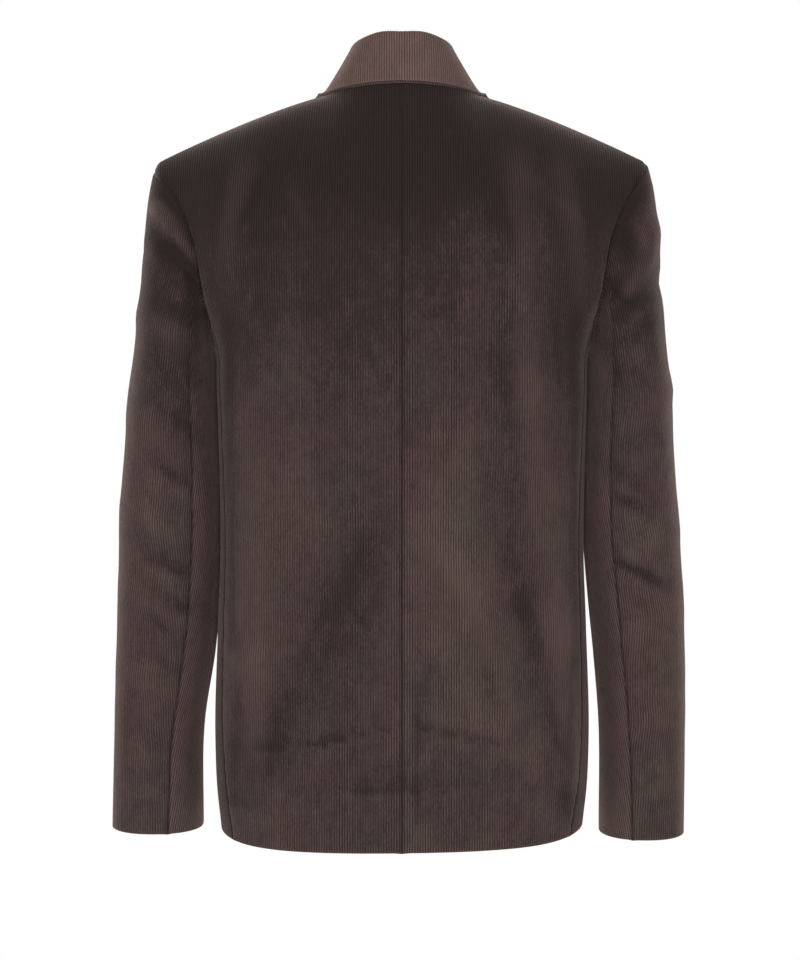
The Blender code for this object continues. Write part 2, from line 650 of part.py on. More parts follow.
def collar_grid(surface):
    """Showing face of the collar, from the foot of the stand over the fold to just past the edge."""
    shares = np.linspace(0, 1, COLLAR_CELLS // 2 + 1)
    guides = smooth_at(COLLAR_TABLE[:, 0], COLLAR_TABLE[:, 1:], shares)
    seam = neck_line(shares)
    fold = guides[:, 0:3]
    edge = guides[:, 3:6]
    roll = guides[:, 6]
    run = np.gradient(fold, axis=0)
    run[0] = (1.0, 0.0, 0.0)
    lift = 2 * COLLAR_WALL + COLLAR_LAYER_GAP + COLLAR_CLEAR
    gorge = np.array([GORGE[0], GORGE[2]])
    corner = np.array([COLLAR_GUIDES[-1][4], COLLAR_GUIDES[-1][6]])
    bend = np.array(NOTCH) - gorge - (corner - gorge) * NOTCH_SHARE
    columns = []
    for i, share in enumerate(shares):
        along = unit(run[i])
        rise = fold[i] - seam[i]
        up = unit(rise) * min(1.0, np.linalg.norm(rise) / 12.0) + unit(fold[i] - edge[i])
        up = unit(up - along * np.dot(up, along))
        out = np.cross(up, along)
        out = unit(out * np.sign(np.dot(out, edge[i] - fold[i])))
        foot = seam[i] - out * (lift - 1.5) + up * (1.1 + 1.5 * ease((share - 0.68) / 0.22))
        stand_top = fold[i] - out * roll[i]
        column = [foot + (stand_top - foot) * s for s in np.linspace(0, 1, STAND_CELLS + 1)]
        for turn in np.linspace(0, math.pi, ROLL_CELLS + 1)[1:]:
            column.append(fold[i] + roll[i] * (up * math.sin(turn) - out * math.cos(turn)))
        start = column[-1]
        end = edge[i]
        notched = ease((share - 0.72) / 0.28) ** 2
        for s in np.linspace(0, 1, FALL_CELLS + 1)[1:]:
            point = start + (end - start) * s + out * 0.4 * math.sin(math.pi * s)
            turned = min(s / NOTCH_SHARE, (1 - s) / (1 - NOTCH_SHARE)) * notched
            point = point + turned * np.array([bend[0], 0.0, bend[1]])
            hold = max(ease((s - 0.5) / 0.5), notched * ease(s / 0.4))
            if notched > 0:
                hit, _, face, _ = surface[0].ray_cast(Vector((point[0], -400.0, point[2])), Vector((0, 1, 0)))
                if hit is not None:
                    over = np.array(hit) + soft_normal(surface, face, hit) * lift
                    point = point + (over - point) * notched * ease(s / 0.4)
            column.append(laid(surface, point, lift, hold))
        further = column[-1] + unit(column[-1] - column[-2]) * UNDER_COLLAR_SHOWS
        column.append(laid(surface, further, lift, 1.0))
        columns.append(column)
    half = np.array(columns).transpose(1, 0, 2)
    low = STAND_CELLS + ROLL_CELLS + 1
    for again in range(COLLAR_SMOOTHING):
        beside = (half[low:, :-2] + half[low:, 2:]) / 2
        half[low:, 1:-1] = (half[low:, 1:-1] + beside) / 2
    for row in half[low:]:
        row[:] = [laid(surface, point, lift, 0.0) for point in row]
    other = half[:, :0:-1] * np.array([-1.0, 1.0, 1.0])
    return np.concatenate([other, half], 1)


def lapel_grid(front, front_normals, depth):
    """Face of the left lapel at a depth under its showing face, from the roll to its edge."""
    surface = surface_of([front], [front_normals])
    keep = front[:, -1, 2] > BREAK_HEIGHT - 25.0
    line = front[keep, -1].copy()
    line_normals = front_normals[keep, -1]
    first = (BREAK_HEIGHT + 4.5 - line[0, 2]) / (line[1, 2] - line[0, 2])
    line[0] += (line[1] - line[0]) * first
    line[-1] += unit(line[-2] - line[-1]) * LAPEL_TOP_GAP
    along = np.concatenate([[0.0], np.cumsum(np.linalg.norm(np.diff(line, axis=0), axis=1))])
    run = np.gradient(line, axis=0)
    radius = LAPEL_ROLL - depth
    ends = np.array([(-EDGE_PAST_CENTRE, BREAK_HEIGHT), *LAPEL_BELLY, LAPEL_TIP], float)
    rows = []
    for spot, normal, ahead, reached in zip(line, line_normals, run, along / along[-1]):
        share = 0.03 + 0.97 * reached
        centre = unit(np.cross(normal, ahead))
        centre *= -np.sign(centre[0])
        row = []
        for turn in np.linspace(-math.pi / 2, math.pi / 2, 5):
            out = LAPEL_GAP + radius * math.sin(turn)
            row.append(spot + centre * (0.35 + radius * math.cos(turn)) + normal * out)
        bend = (1 - share) ** 3 * ends[0] + 3 * share * (1 - share) ** 2 * ends[1]
        bend = bend + 3 * share**2 * (1 - share) * ends[2] + share**3 * ends[3]
        for s in np.linspace(0, 1, LAPEL_CELLS + 1)[1:]:
            x = spot[0] + (bend[0] - spot[0]) * s
            z = spot[2] + (bend[1] - spot[2]) * s
            hit, _, face, _ = surface[0].ray_cast(Vector((x, -400.0, z)), Vector((0, 1, 0)))
            spring = LAPEL_SPRING * share * math.sin(math.pi * s) * (1 - 0.5 * s)
            away = soft_normal(surface, face, hit)
            row.append(np.array(hit) + away * (LAPEL_GAP + radius + spring))
        rows.append(row)
    return np.array(rows)[:, ::-1]


def button(name, spot, normal):
    normal = unit(normal)
    across = unit(np.cross(normal, [0.0, 0.0, 1.0]))
    up = np.cross(across, normal)
    profile = (
        (0.0, BUTTON_THICKNESS - 1.0),
        (0.62, BUTTON_THICKNESS - 1.0),
        (0.74, BUTTON_THICKNESS),
        (0.92, BUTTON_THICKNESS),
        (1.0, BUTTON_THICKNESS - 0.9),
        (0.96, 0.8),
        (0.80, 0.0),
        (0.0, 0.0),
    )
    base = spot + normal * BUTTON_GAP
    points = [base + normal * profile[0][1]]
    for share, height in profile[1:-1]:
        for k in range(BUTTON_SIDES):
            turn = 2 * math.pi * k / BUTTON_SIDES
            ring = across * math.cos(turn) + up * math.sin(turn)
            points.append(base + ring * BUTTON_RADIUS * share + normal * height)
    points.append(base)
    faces = []
    rings = len(profile) - 2
    for k in range(BUTTON_SIDES):
        after = (k + 1) % BUTTON_SIDES
        faces.append((0, 1 + after, 1 + k))
        for ring in range(rings - 1):
            a = 1 + ring * BUTTON_SIDES
            b = a + BUTTON_SIDES
            faces.append((a + k, a + after, b + after, b + k))
        last = 1 + (rings - 1) * BUTTON_SIDES
        faces.append((last + k, last + after, len(points) - 1))
    points = (np.array(points) - np.array([0.0, NECK_BACK, 0.0])) * MM
    return add_object(name, points, faces, BUTTON_BROWN)


def build_jacket():
    panels = build_panels()
    outer, normals, scale = settled(panels)
    for name in panels:
        inner = outer[name] - normals[name] * (WALL * scale[name])[:, :, None]
        cloth(name, outer[name], inner, CLOTH)

    body = [name for name in outer if "sleeve" not in name]
    surface = surface_of([outer[name] for name in body], [normals[name] for name in body])
    shown = collar_grid(surface)
    away = -normals_of(shown)
    inner = shown - away * COLLAR_WALL
    cloth("collar", shown[-2::-1], inner[-2::-1], COLLAR_CLOTH)
    outside = inner - away * COLLAR_LAYER_GAP
    inside = outside - away * COLLAR_WALL
    cloth("under_collar", outside[::-1], inside[::-1], CLOTH)

    for side in ("left", "right"):
        grid = outer["front_" + side]
        front_normals = normals["front_" + side]
        if side == "right":
            grid = mirrored(grid)
            front_normals = mirrored(front_normals)
        shown = lapel_grid(grid, front_normals, 0.0)
        inner = lapel_grid(grid, front_normals, WALL)
        if side == "right":
            shown = mirrored(shown)
            inner = mirrored(inner)
        cloth("lapel_" + side, shown, inner, CLOTH)

    surface = surface_of([outer["front_left"]], [normals["front_left"]])
    for name, height in BUTTON_HEIGHTS:
        hit, normal, _, _ = surface[0].ray_cast(Vector((0.0, -400.0, height)), Vector((0, 1, 0)))
        button(name, np.array(hit), np.array(normal))


build_jacket()
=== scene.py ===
import math

import bpy
import numpy as np
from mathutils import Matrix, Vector
from mathutils.bvhtree import BVHTree


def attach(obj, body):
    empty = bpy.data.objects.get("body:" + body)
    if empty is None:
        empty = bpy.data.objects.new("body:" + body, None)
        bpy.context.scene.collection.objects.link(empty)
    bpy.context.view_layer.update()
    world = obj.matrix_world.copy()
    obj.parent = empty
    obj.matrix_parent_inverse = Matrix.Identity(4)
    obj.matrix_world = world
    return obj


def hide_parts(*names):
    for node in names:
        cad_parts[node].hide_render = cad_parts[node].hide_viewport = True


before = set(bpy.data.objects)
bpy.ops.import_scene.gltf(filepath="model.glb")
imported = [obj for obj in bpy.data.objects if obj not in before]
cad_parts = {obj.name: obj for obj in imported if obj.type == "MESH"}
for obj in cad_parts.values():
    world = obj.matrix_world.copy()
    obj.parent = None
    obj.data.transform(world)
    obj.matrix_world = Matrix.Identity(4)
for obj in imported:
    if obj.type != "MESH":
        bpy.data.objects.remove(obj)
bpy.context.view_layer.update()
print("frame loaded:", len(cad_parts), "nodes")

# Sizes are in millimetres: height 0 at the nape, the front towards -Y, y 0 at the shoulder line.
mm = 0.001
napeBack = 62.0
flip = np.array([-1.0, 1.0, 1.0])  # to the other side of the jacket
upward = np.array([0.0, 0.0, 1.0])

cloth = {
    "waleWidth": 2.42,  # from one groove to the next
    "waleDepth": 0.5,
    "pointsPerWale": 4,
    "thickness": 1.5,
    "seamDrop": 0.8,  # how far the cloth sinks into a seam
    "seamReach": 1.5,
    "seamShadow": 1.4,
    "edgeRound": 0.5,  # share of the thickness
    "edgeRows": (0.12, 0.4, 0.9, 1.8, 3.6),  # added rows, by their distance from an edge
    "edgeRubbed": 1.6,
    "insideCells": 22,
}


def smoothAt(keys, values, at):  # smooth curve through rising keys, straight past the ends
    keys = np.asarray(keys, float)
    values = np.asarray(values, float)
    at = np.atleast_1d(np.asarray(at, float))
    slopes = np.gradient(values, keys, axis=0)
    i = np.clip(np.searchsorted(keys, at) - 1, 0, len(keys) - 2)
    step = keys[i + 1] - keys[i]
    t = (at - keys[i]) / step
    shape = (-1,) + (1,) * (values.ndim - 1)
    t = t.reshape(shape)
    step = step.reshape(shape)
    inside = np.clip(t, 0.0, 1.0)
    square = inside * inside
    cube = square * inside
    out = (2 * cube - 3 * square + 1) * values[i] + (cube - 2 * square + inside) * step * slopes[i]
    out = out + (3 * square - 2 * cube) * values[i + 1] + (cube - square) * step * slopes[i + 1]
    past = np.where(t < 0, t, np.where(t > 1, t - 1, 0))
    return out + past * step * np.where(t < 0, slopes[i], slopes[i + 1])


def ease(value):
    value = np.clip(value, 0, 1)
    return value * value * (3 - 2 * value)


def unit(vector):
    return vector / max(np.linalg.norm(vector), 1e-9)


def unitRows(vectors):
    return vectors / np.maximum(np.linalg.norm(vectors, axis=-1, keepdims=True), 1e-9)


def lengthsAlong(points, axis):  # distance from the first point, along rows or columns of a grid
    steps = np.linalg.norm(np.diff(points, axis=axis), axis=-1)
    start = np.zeros_like(np.take(steps, [0], axis=axis))
    return np.concatenate([start, np.cumsum(steps, axis=axis)], axis=axis)


def atDistances(line, reach, wanted):  # points of a line at the wanted distances along it
    return np.stack([np.interp(wanted, reach, line[:, k]) for k in range(3)], 1)


def bezier(t, start, first, second, end):
    low = (1 - t) ** 3 * start + 3 * t * (1 - t) ** 2 * first
    return low + 3 * t**2 * (1 - t) * second + t**3 * end


def squashed(values, power):  # a circle's sines or cosines, turned into those of a rounder square
    return np.sign(values) * np.abs(values) ** power


def handsOf(name):  # the piece's own hand, then the other
    return ("left", "right") if name.endswith("left") else ("right", "left")


# body: level sections below the armholes, a yoke of soft columns above
body = {
    "hem": -727.0,
    "sideTop": -232.0,
    "armholeDip": 30.0,
    "yokeRow": -165.0,
    "neckHalfWidth": 72.0,
    "neckDrop": 12.0,
    "shoulderEnd": (236.0, 0.0, -75.5),
    "gorge": (57.0, -52.0, -47.0),
    "neckShare": 6 / 13,
    "neckSideShare": 0.6,
    "breakHeight": -385.0,
    "edgePastCentre": 19.0,
    "hemCutaway": 62.0,
    "cutawayFrom": -600.0,
    "frontHemDrop": 10.0,
    "hemFrom": -560.0,  # below this the hem's own drops start
    "hemSag": (-2.4, -0.012, 7.5, 178.0),  # all over, across, at the sides, and their distance
    "shoulderSag": (-1.2, 3.9),
    "neckAhead": ((72.5, -22.0, -15.5), (65.0, -42.0, -33.0)),
    "underLap": 7.5,
    "roundness": 2.4,
    "seamGap": -0.03,
    # height, half widths of back and front, depths of back and front, turns to the side seams
    "sections": (
        (-745.0, 174.0, 174.0, 115.0, 121.0, 64.0, 118.0),
        (-727.0, 175.5, 175.5, 116.0, 122.0, 64.0, 118.0),
        (-690.0, 179.5, 179.5, 117.5, 123.5, 65.5, 118.0),
        (-640.0, 181.5, 181.5, 118.0, 124.5, 68.0, 117.0),
        (-530.0, 179.0, 179.0, 114.0, 124.0, 71.0, 115.0),
        (-450.0, 176.5, 176.5, 109.5, 122.0, 72.0, 112.0),
        (-400.0, 177.0, 177.0, 110.5, 122.0, 73.0, 110.0),
        (-349.0, 178.5, 178.5, 113.5, 123.5, 74.0, 108.0),
        (-300.0, 180.0, 180.0, 116.5, 125.0, 75.0, 106.0),
        (-262.0, 181.5, 181.5, 118.0, 125.5, 76.0, 104.5),
        (-232.0, 190.0, 186.5, 118.0, 125.0, 76.0, 103.8),
        (-195.0, 204.0, 192.5, 117.5, 124.0, 69.0, 110.3),
        (-165.0, 212.0, 196.0, 116.0, 121.5, 66.7, 113.0),
    ),
    # how the yoke leaves its upper edge: share along the edge, x y z
    "backLeaves": (
        (0, 0, 28, -33), (0.3, 2, 34, -22), (0.46, 4, 40, -9), (0.7, 0, 50, -8), (1, -1, 31, -14),
    ),
    "frontLeaves": ((0, -2, -30, -15), (0.3, 0, -48, -12), (0.54, 5, -38, -16), (1, -4, -24, -40)),
    "rows": (96, 12, 28),  # to the side top, to the yoke, over the yoke
    "yokeSmoothing": 75,
    "columns": 65,
    "sideColumns": 12,
}
sectionTable = np.array(body["sections"], float)


def sectionAt(height):
    return smoothAt(sectionTable[:, 0], sectionTable[:, 1:], height)[0]


def sectionPoints(height, startTurn, endTurn, count=150):
    backHalf, frontHalf, backDepth, frontDepth = sectionAt(height)[:4]
    turns = np.radians(np.linspace(startTurn, endTurn, count))
    power = 2.0 / body["roundness"]
    behind = np.cos(turns) >= 0
    half = np.where(behind, backHalf, frontHalf)
    depth = np.where(behind, backDepth, frontDepth)
    x = half * squashed(np.sin(turns), power)
    y = depth * squashed(np.cos(turns), power)
    return np.stack([x, y, np.full(count, float(height))], 1)


def evenPoints(line, shares):
    along = lengthsAlong(line, 0)
    return atDistances(line, along, np.asarray(shares, float) * along[-1])


def frontEdgeSide(height):  # side of the front's inner edge, then of the roll line
    past = body["edgePastCentre"]
    if height > body["breakHeight"]:
        share = (height - body["breakHeight"]) / (body["gorge"][2] - body["breakHeight"])
        return -past + (body["gorge"][0] + past) * share
    start = body["cutawayFrom"]
    low = max(0.0, (start - height) / (start - body["hem"] + body["frontHemDrop"]))
    return -past + body["hemCutaway"] * low**3.2


def neckLine(share):
    share = np.atleast_1d(np.asarray(share, float))
    half, drop, split = body["neckHalfWidth"], body["neckDrop"], body["neckSideShare"]
    turn = np.clip(share / split, 0, 1) * math.pi / 2
    behind = np.stack([half * np.sin(turn), napeBack * np.cos(turn), -drop * np.sin(turn) ** 3], 1)
    t = np.clip((share - split) / (1 - split), 0, 1)[:, None]
    ends = np.array([(half, 0, -drop), *body["neckAhead"], body["gorge"]], float)
    return np.where(share[:, None] <= split, behind, bezier(t, *ends))


def shoulderLine(share):
    share = np.atleast_1d(np.asarray(share, float))[:, None]
    start = np.array([body["neckHalfWidth"], 0.0, -body["neckDrop"]])
    end, middle = body["shoulderSag"]
    droop = end * share**9 + middle * np.sin(math.pi * share**0.75)
    return start + (np.array(body["shoulderEnd"]) - start) * share + droop * upward


def backTop(shares):
    neck = neckLine(np.clip(shares / body["neckShare"], 0, 1) * body["neckSideShare"])
    shoulder = shoulderLine(np.clip((shares - body["neckShare"]) / (1 - body["neckShare"]), 0, 1))
    return np.where(shares[:, None] <= body["neckShare"], neck, shoulder)


def frontTop(shares):
    turned = 1 - body["neckShare"]
    shoulder = shoulderLine(np.clip(1 - shares / turned, 0, 1))
    reached = np.clip((shares - turned) / body["neckShare"], 0, 1)
    neck = neckLine(body["neckSideShare"] + (1 - body["neckSideShare"]) * reached)
    return np.where(shares[:, None] <= turned, shoulder, neck)


def backLevel(height, shares):
    return evenPoints(sectionPoints(height, 0.0, sectionAt(height)[4]), shares)


def frontLevel(height, shares):
    size = sectionAt(height)
    side = frontEdgeSide(height)
    share = min(abs(side) / size[1], 1.0) ** (body["roundness"] / 2.0)
    end = 180.0 - math.copysign(math.degrees(math.asin(share)), side)
    return evenPoints(sectionPoints(height, size[5], end), shares)


def yokeRow(level, top, leaves, shares, t):
    base = level(body["yokeRow"], shares)
    slope = (base - level(body["yokeRow"] - 2.0, shares)) / 2.0
    end = top(shares)
    keys = np.array(leaves, float)
    first = base + slope * 0.4 * (end[:, 2:3] - base[:, 2:3])
    return bezier(t, base, first, end + smoothAt(keys[:, 0], keys[:, 1:], shares), end)


def levelHeights():
    low = np.linspace(body["hem"], body["sideTop"], body["rows"][0] + 1)
    high = np.linspace(body["sideTop"], body["yokeRow"], body["rows"][1] + 1)[1:]
    return np.concatenate([low, high])


def yokeShare(count):  # how far up the yoke each row of a panel is
    return np.clip((np.arange(count) - sum(body["rows"][:2])) / body["rows"][2], 0, 1)


def bodyGrid(level, top, leaves, evened):
    shares = np.linspace(0, 1, body["columns"] + 1)
    rows = [level(z, shares) for z in levelHeights()]
    steps = np.linspace(0, 1, body["rows"][2] + 1)[1:]
    rows += [yokeRow(level, top, leaves, shares, t) for t in steps]
    grid = np.array(rows)
    t = yokeShare(len(grid))
    weight = 0.5 * (ease(t / 0.3) * ease((1 - t) / 0.15))[:, None, None]
    weight = weight * evened(shares)[None, :, None]
    for again in range(body["yokeSmoothing"]):
        before = np.concatenate([grid[:, 1:2] * flip, grid[:, :-1]], 1)
        after = np.concatenate([grid[:, 1:], grid[:, -1:]], 1)
        grid = grid + weight * ((before + after) / 2 - grid)
    return grid


def sideGrid():
    shares = np.linspace(0, 1, body["sideColumns"] + 1)
    rows = []
    for z in levelHeights()[: body["rows"][0] + 1]:
        dip = body["armholeDip"] * 4 * shares * (1 - shares)
        dip = dip * np.clip((z - body["sideTop"] + 150.0) / 150.0, 0, 1) ** 1.5
        row = []
        for share, lower in zip(shares, dip):
            size = sectionAt(z - lower)
            row.append(evenPoints(sectionPoints(z - lower, size[4], size[5], 60), [share])[0])
        rows.append(row)
    return np.array(rows)


# sleeves: level rings below, a cap that swings out to the armhole above
sleeves = {
    # height, forward, half depth, left side, left half width, right side, right half width
    "rings": (
        (-300.0, -14.0, 71.0, 224.5, 43.4, 222.5, 41.4),
        (-349.0, -20.0, 69.0, 225.3, 46.4, 222.7, 43.7),
        (-410.0, -24.0, 66.0, 227.0, 50.0, 224.2, 46.6),
        (-505.0, -26.0, 61.5, 229.7, 50.2, 230.5, 46.5),
        (-560.0, -26.0, 59.0, 233.3, 48.3, 234.0, 44.6),
        (-625.0, -27.0, 56.0, 239.2, 44.1, 236.8, 42.2),
        (-735.0, -32.0, 52.0, 241.7, 44.6, 237.0, 41.5),
    ),
    "cuffs": {"left": -731.0, "right": -737.0},
    "roundness": 2.15,
    "rows": (92, 36),
    "elbowTurn": ((-728.0, 108.0), (-603.0, 114.0), (-410.0, 119.0), (-300.0, 118.0)),
    "forearmTurn": -121.0,
    "capLeaves": (10.5, 0.40),  # how the cap leaves the ring: outwards, and along the sleeve
    "edgeLeaves": (4.0, 0.04, 3.0),  # how it leaves the armhole: out, with its height, down
    "shoulderOver": {"left": 13.0, "right": 4.0},  # how far down the cap the shoulder reaches
    "shoulderOverReach": 62.0,
    "elbowSeamRow": 8,
    "forearmSeamRow": 4,
    "underWaleLean": 0.17,  # the under sleeve's wales lean by this against its elbow seam
}
ringTable = np.array(sleeves["rings"], float)[::-1]


def ringPoints(height, turns, hand):
    row = smoothAt(ringTable[:, 0], ringTable[:, 1:], height)[0]
    side, half = row[2:4] if hand == "left" else row[4:6]
    turns = np.radians(np.asarray(turns, float))
    power = 2.0 / sleeves["roundness"]
    x = side + half * squashed(np.cos(turns), power)
    y = row[0] + row[1] * squashed(np.sin(turns), power)
    return np.stack([x, y, np.full(len(turns), float(height))], 1)


def elbowTurn(height):
    keys = np.array(sleeves["elbowTurn"])
    return float(smoothAt(keys[:, 0], keys[:, 1], height)[0])


def sleeveGrid(edge, startTurn, endTurn, hand):
    top = sleeves["rings"][0][0]
    shares = np.linspace(0, 1, len(edge))

    def turnsAt(z):
        return startTurn(z) + (endTurn(z) - startTurn(z)) * shares

    heights = np.linspace(sleeves["cuffs"][hand], top, sleeves["rows"][0] + 1)
    rows = [ringPoints(z, turnsAt(z), hand) for z in heights]
    turns = turnsAt(top)
    ring = rows[-1]
    slope = (ringPoints(top, turns, hand) - ringPoints(top - 4.0, turns, hand)) / 4.0
    cosine = np.cos(np.radians(turns))
    sine = np.sin(np.radians(turns))
    height = (edge[:, 2] - top)[:, None]
    outward = np.stack([(cosine + 1.3) / 1.7, sine / 1.7, np.zeros(len(turns))], 1)
    out, slant, down = sleeves["edgeLeaves"]
    second = edge + (outward * (out + slant * height) - upward * (slant * height + down))
    swing, share = sleeves["capLeaves"]
    pull = np.stack([np.maximum(cosine, 0) * swing, cosine * 0, cosine * 0], 1)
    first = ring + slope * share * height - pull
    for t in np.linspace(0, 1, sleeves["rows"][1] + 1)[1:]:
        rows.append(bezier(t**0.9, ring, first, second, edge))
    return np.array(rows)


# folds: soft runs, with start x and height, end x and height, half width and depth
folds = {
    "deeper": 1.35,  # the large runs, against the plain form
    "smallDeeper": 1.3,
    "back": (
        (-109, -99, -118, -300, 16, 2.2), (-118, -300, -144, -525, 16, 2.6),
        (-144, -525, -155, -660, 14, 2.6), (-88, -150, -82, -400, 15, -2.4),
        (-86, -400, -140, -690, 15, -3), (104, -170, 132, -330, 16, -1.4),
        (143, -330, 142, -560, 16, 2.4), (140, -560, 128, -690, 14, 2.6),
        (20, -430, 70, -520, 18, -2), (70, -520, 122, -690, 18, -2.8),
        (-10, -433, -60, -495, 15, 2.2), (-60, -495, -109, -600, 15, 2),
        (150, -100, 176, -190, 13, 2), (-150, -100, -172, -200, 13, 2),
    ),
    "backSmall": (
        (135, -636, 70, -628, 3.2, -0.8), (72, -628, 3, -610, 2.6, -1),
        (47, -635, 4, -631, 2.2, -0.7), (-11, -612, -60, -622, 2.8, -0.9),
        (-60, -622, -101, -633, 3.2, -0.8), (-141, -632, -156, -655, 3.4, -1),
        (130, -624, 66, -616, 5, 0.7), (-20, -604, -90, -622, 5, 0.7),
        (45, -672, -55, -668, 8.5, -0.9), (71, -631, 110, -680, 6, -0.9),
        (147, -142, 125, -105, 7, -1.4), (101, -117, 92, -150, 8, 0.9),
        (-82, -117, -88, -150, 7, -0.9), (-121, -105, -165, -142, 7, 1.2),
        (39, -260, 8, -316, 7, -0.8), (-79, -570, -84, -600, 6, -0.8),
        (-12.5, -600, -12.5, -720, 1.6, 0.22), (150, -430, 118, -446, 6, -0.7),
        (-148, -420, -120, -440, 6, -0.7), (60, -120, 30, -136, 7, -0.6),
        (-64, -128, -34, -150, 7, -0.6),
    ),
    "front": (
        (120, -230, 134, -420, 18, 2.2), (134, -420, 128, -640, 18, 2.4),
        (60, -430, 92, -640, 17, -2.2), (-124, -240, -132, -450, 18, 2.2),
        (-132, -450, -122, -650, 17, 2.6), (-56, -440, -88, -640, 17, -2),
    ),
    "frontSmall": (
        (24, -404, 70, -424, 6, -0.9), (26, -412, 66, -450, 7, 0.8),
        (24, -508, 64, -520, 5.5, -0.8), (-30, -400, -66, -420, 6, -0.8),
        (-34, -506, -72, -524, 6, -0.7), (150, -250, 110, -272, 7, -1),
        (-152, -246, -112, -274, 7, -1), (140, -560, 96, -580, 6.5, -0.8),
        (-142, -600, -100, -616, 6.5, -0.8), (120, -110, 150, -160, 8, 1),
        (-122, -112, -150, -166, 8, 1),
    ),
    "left": (
        (230, -128, 192, -182, 7, 3), (236, -152, 194, -196, 8, -3),
        (250, -230, 206, -262, 12, 1.8), (256, -330, 216, -372, 12, 1.6),
        (229, -384, 200, -399, 10, -1.6), (266, -420, 226, -446, 12, 1.5),
        (229, -474, 205, -486, 10, -1.8), (262, -500, 214, -528, 12, 1.8),
        (258, -580, 214, -604, 14, 1.4), (250, -650, 206, -668, 14, -1.2),
    ),
    "leftSmall": (
        (232, -106, 200, -137, 5, -1.3), (238, -122, 206, -146, 4.5, 1),
        (246, -168, 204, -214, 5, -1.2), (229, -380, 204, -398, 4, -1.1),
        (231, -392, 208, -408, 4.5, 0.9), (229, -472, 214, -480, 3.5, -1.2),
        (214, -514, 199, -520, 3.5, -1.1), (241, -520, 229, -533, 4, -1.2),
        (236, -486, 210, -500, 4.5, 1), (262, -446, 238, -470, 5, -0.8),
        (262, -300, 232, -322, 5.5, -0.7), (250, -556, 222, -574, 5, -0.7),
        (222, -612, 200, -622, 4.5, -0.7), (258, -690, 228, -700, 6, 0.6),
    ),
    "right": (
        (-232, -96, -205, -150, 9, -2.4), (-243, -150, -220, -200, 10, 3.2),
        (-252, -196, -214, -232, 9, -2.4), (-256, -300, -212, -338, 12, 1.8),
        (-203, -408, -228, -420, 10, -1.6), (-264, -440, -222, -462, 12, 1.6),
        (-212, -474, -250, -492, 10, -1.8), (-262, -520, -216, -548, 12, 1.6),
        (-187, -542, -206, -658, 10, -1.6), (-256, -620, -216, -640, 14, 1.4),
    ),
    "rightSmall": (
        (-232, -91, -205, -145, 5, -1.2), (-197, -205, -212, -218, 5, -1.1),
        (-238, -172, -214, -206, 5, 1), (-203, -408, -223, -417, 3.8, -1.2),
        (-208, -396, -232, -406, 5, 0.9), (-212, -473, -245, -489, 4, -1.3),
        (-214, -460, -248, -478, 5, 1), (-209, -500, -228, -510, 4, -1.1),
        (-226, -520, -256, -534, 5, -0.8), (-246, -352, -216, -372, 5.5, -0.7),
        (-252, -566, -224, -584, 5, -0.8), (-206, -640, -232, -652, 4.5, -0.7),
        (-254, -690, -224, -702, 6, 0.6),
    ),
}


def foldDepth(points, large, small=()):
    depth = np.zeros(points.shape[:-1])
    runs = [(*run[:5], run[5] * folds["deeper"]) for run in large]
    runs += [(*run[:5], run[5] * folds["smallDeeper"]) for run in small]
    for x0, z0, x1, z1, half, deep in runs:
        run = np.array([x1 - x0, z1 - z0], float)
        length = np.linalg.norm(run)
        run = run / length
        dx = points[..., 0] - x0
        dz = points[..., 2] - z0
        along = dx * run[0] + dz * run[1]
        across = -dx * run[1] + dz * run[0]
        past = np.maximum(np.maximum(-along, along - length), 0)
        depth = depth + deep * np.exp(-((across / half) ** 2) - (past / (1.6 * half)) ** 2)
    return depth


def foldsOn(name, points):
    heights = points[..., 2]
    if "Sleeve" in name:
        hand, other = handsOf(name)
        middle = smoothAt(ringTable[:, 0], ringTable[:, 3], heights.ravel()).reshape(heights.shape)
        atCap = 40.0 * ease((heights + 270.0) / 70.0)
        outer = ease((np.abs(points[..., 0]) - middle + 36.0 + atCap) / 22.0)
        behind = ease((points[..., 1] + 60.0) / 90.0)
        shown = foldDepth(points, folds[hand], folds[hand + "Small"])
        away = foldDepth(points * flip, folds[other], folds[other + "Small"])
        low = ease((heights + 737.0) / 60.0)
        cap = ease((len(points) - 1 - np.arange(len(points))) / 8.0)
        return (shown * behind + 0.8 * away * (1 - behind)) * outer * low * cap[:, None]
    behind = ease((points[..., 1] + 12.0) / 24.0)
    shown = foldDepth(points, folds["back"], folds["backSmall"])
    away = foldDepth(points, folds["front"], folds["frontSmall"])
    inner = ease((178.0 - np.abs(points[..., 0])) / 18.0)
    return (shown * behind + away * (1 - behind)) * inner


def underLap(points):  # the right front sits behind the left one
    near = ease((78.0 + points[..., 0]) / 46.0) * ease((-225.0 - points[..., 2]) / 60.0)
    return -body["underLap"] * near


def hemShare(points):
    start = body["hemFrom"]
    return np.clip((start - points[..., 2]) / (start - body["hem"]), 0, 1) ** 2


def hemShift(points):
    even, across, sides, reach = body["hemSag"]
    x = points[..., 0]
    return hemShare(points) * (even + across * x + sides * np.clip(np.abs(x) / reach, 0, 1) ** 9)


def normalsOf(grid):
    return unitRows(np.cross(np.gradient(grid, axis=0), np.gradient(grid, axis=1)))


def mirrored(grid):
    return grid[:, ::-1] * flip


def movedEnd(line, further, change):  # a row that ends further along, with its spacing kept
    path = np.concatenate([line, further[1:]]) if change > 0 else line
    reach = lengthsAlong(path, 0)
    length = reach[len(line) - 1]
    return atDistances(path, reach, reach[: len(line)] * (length + change) / length)


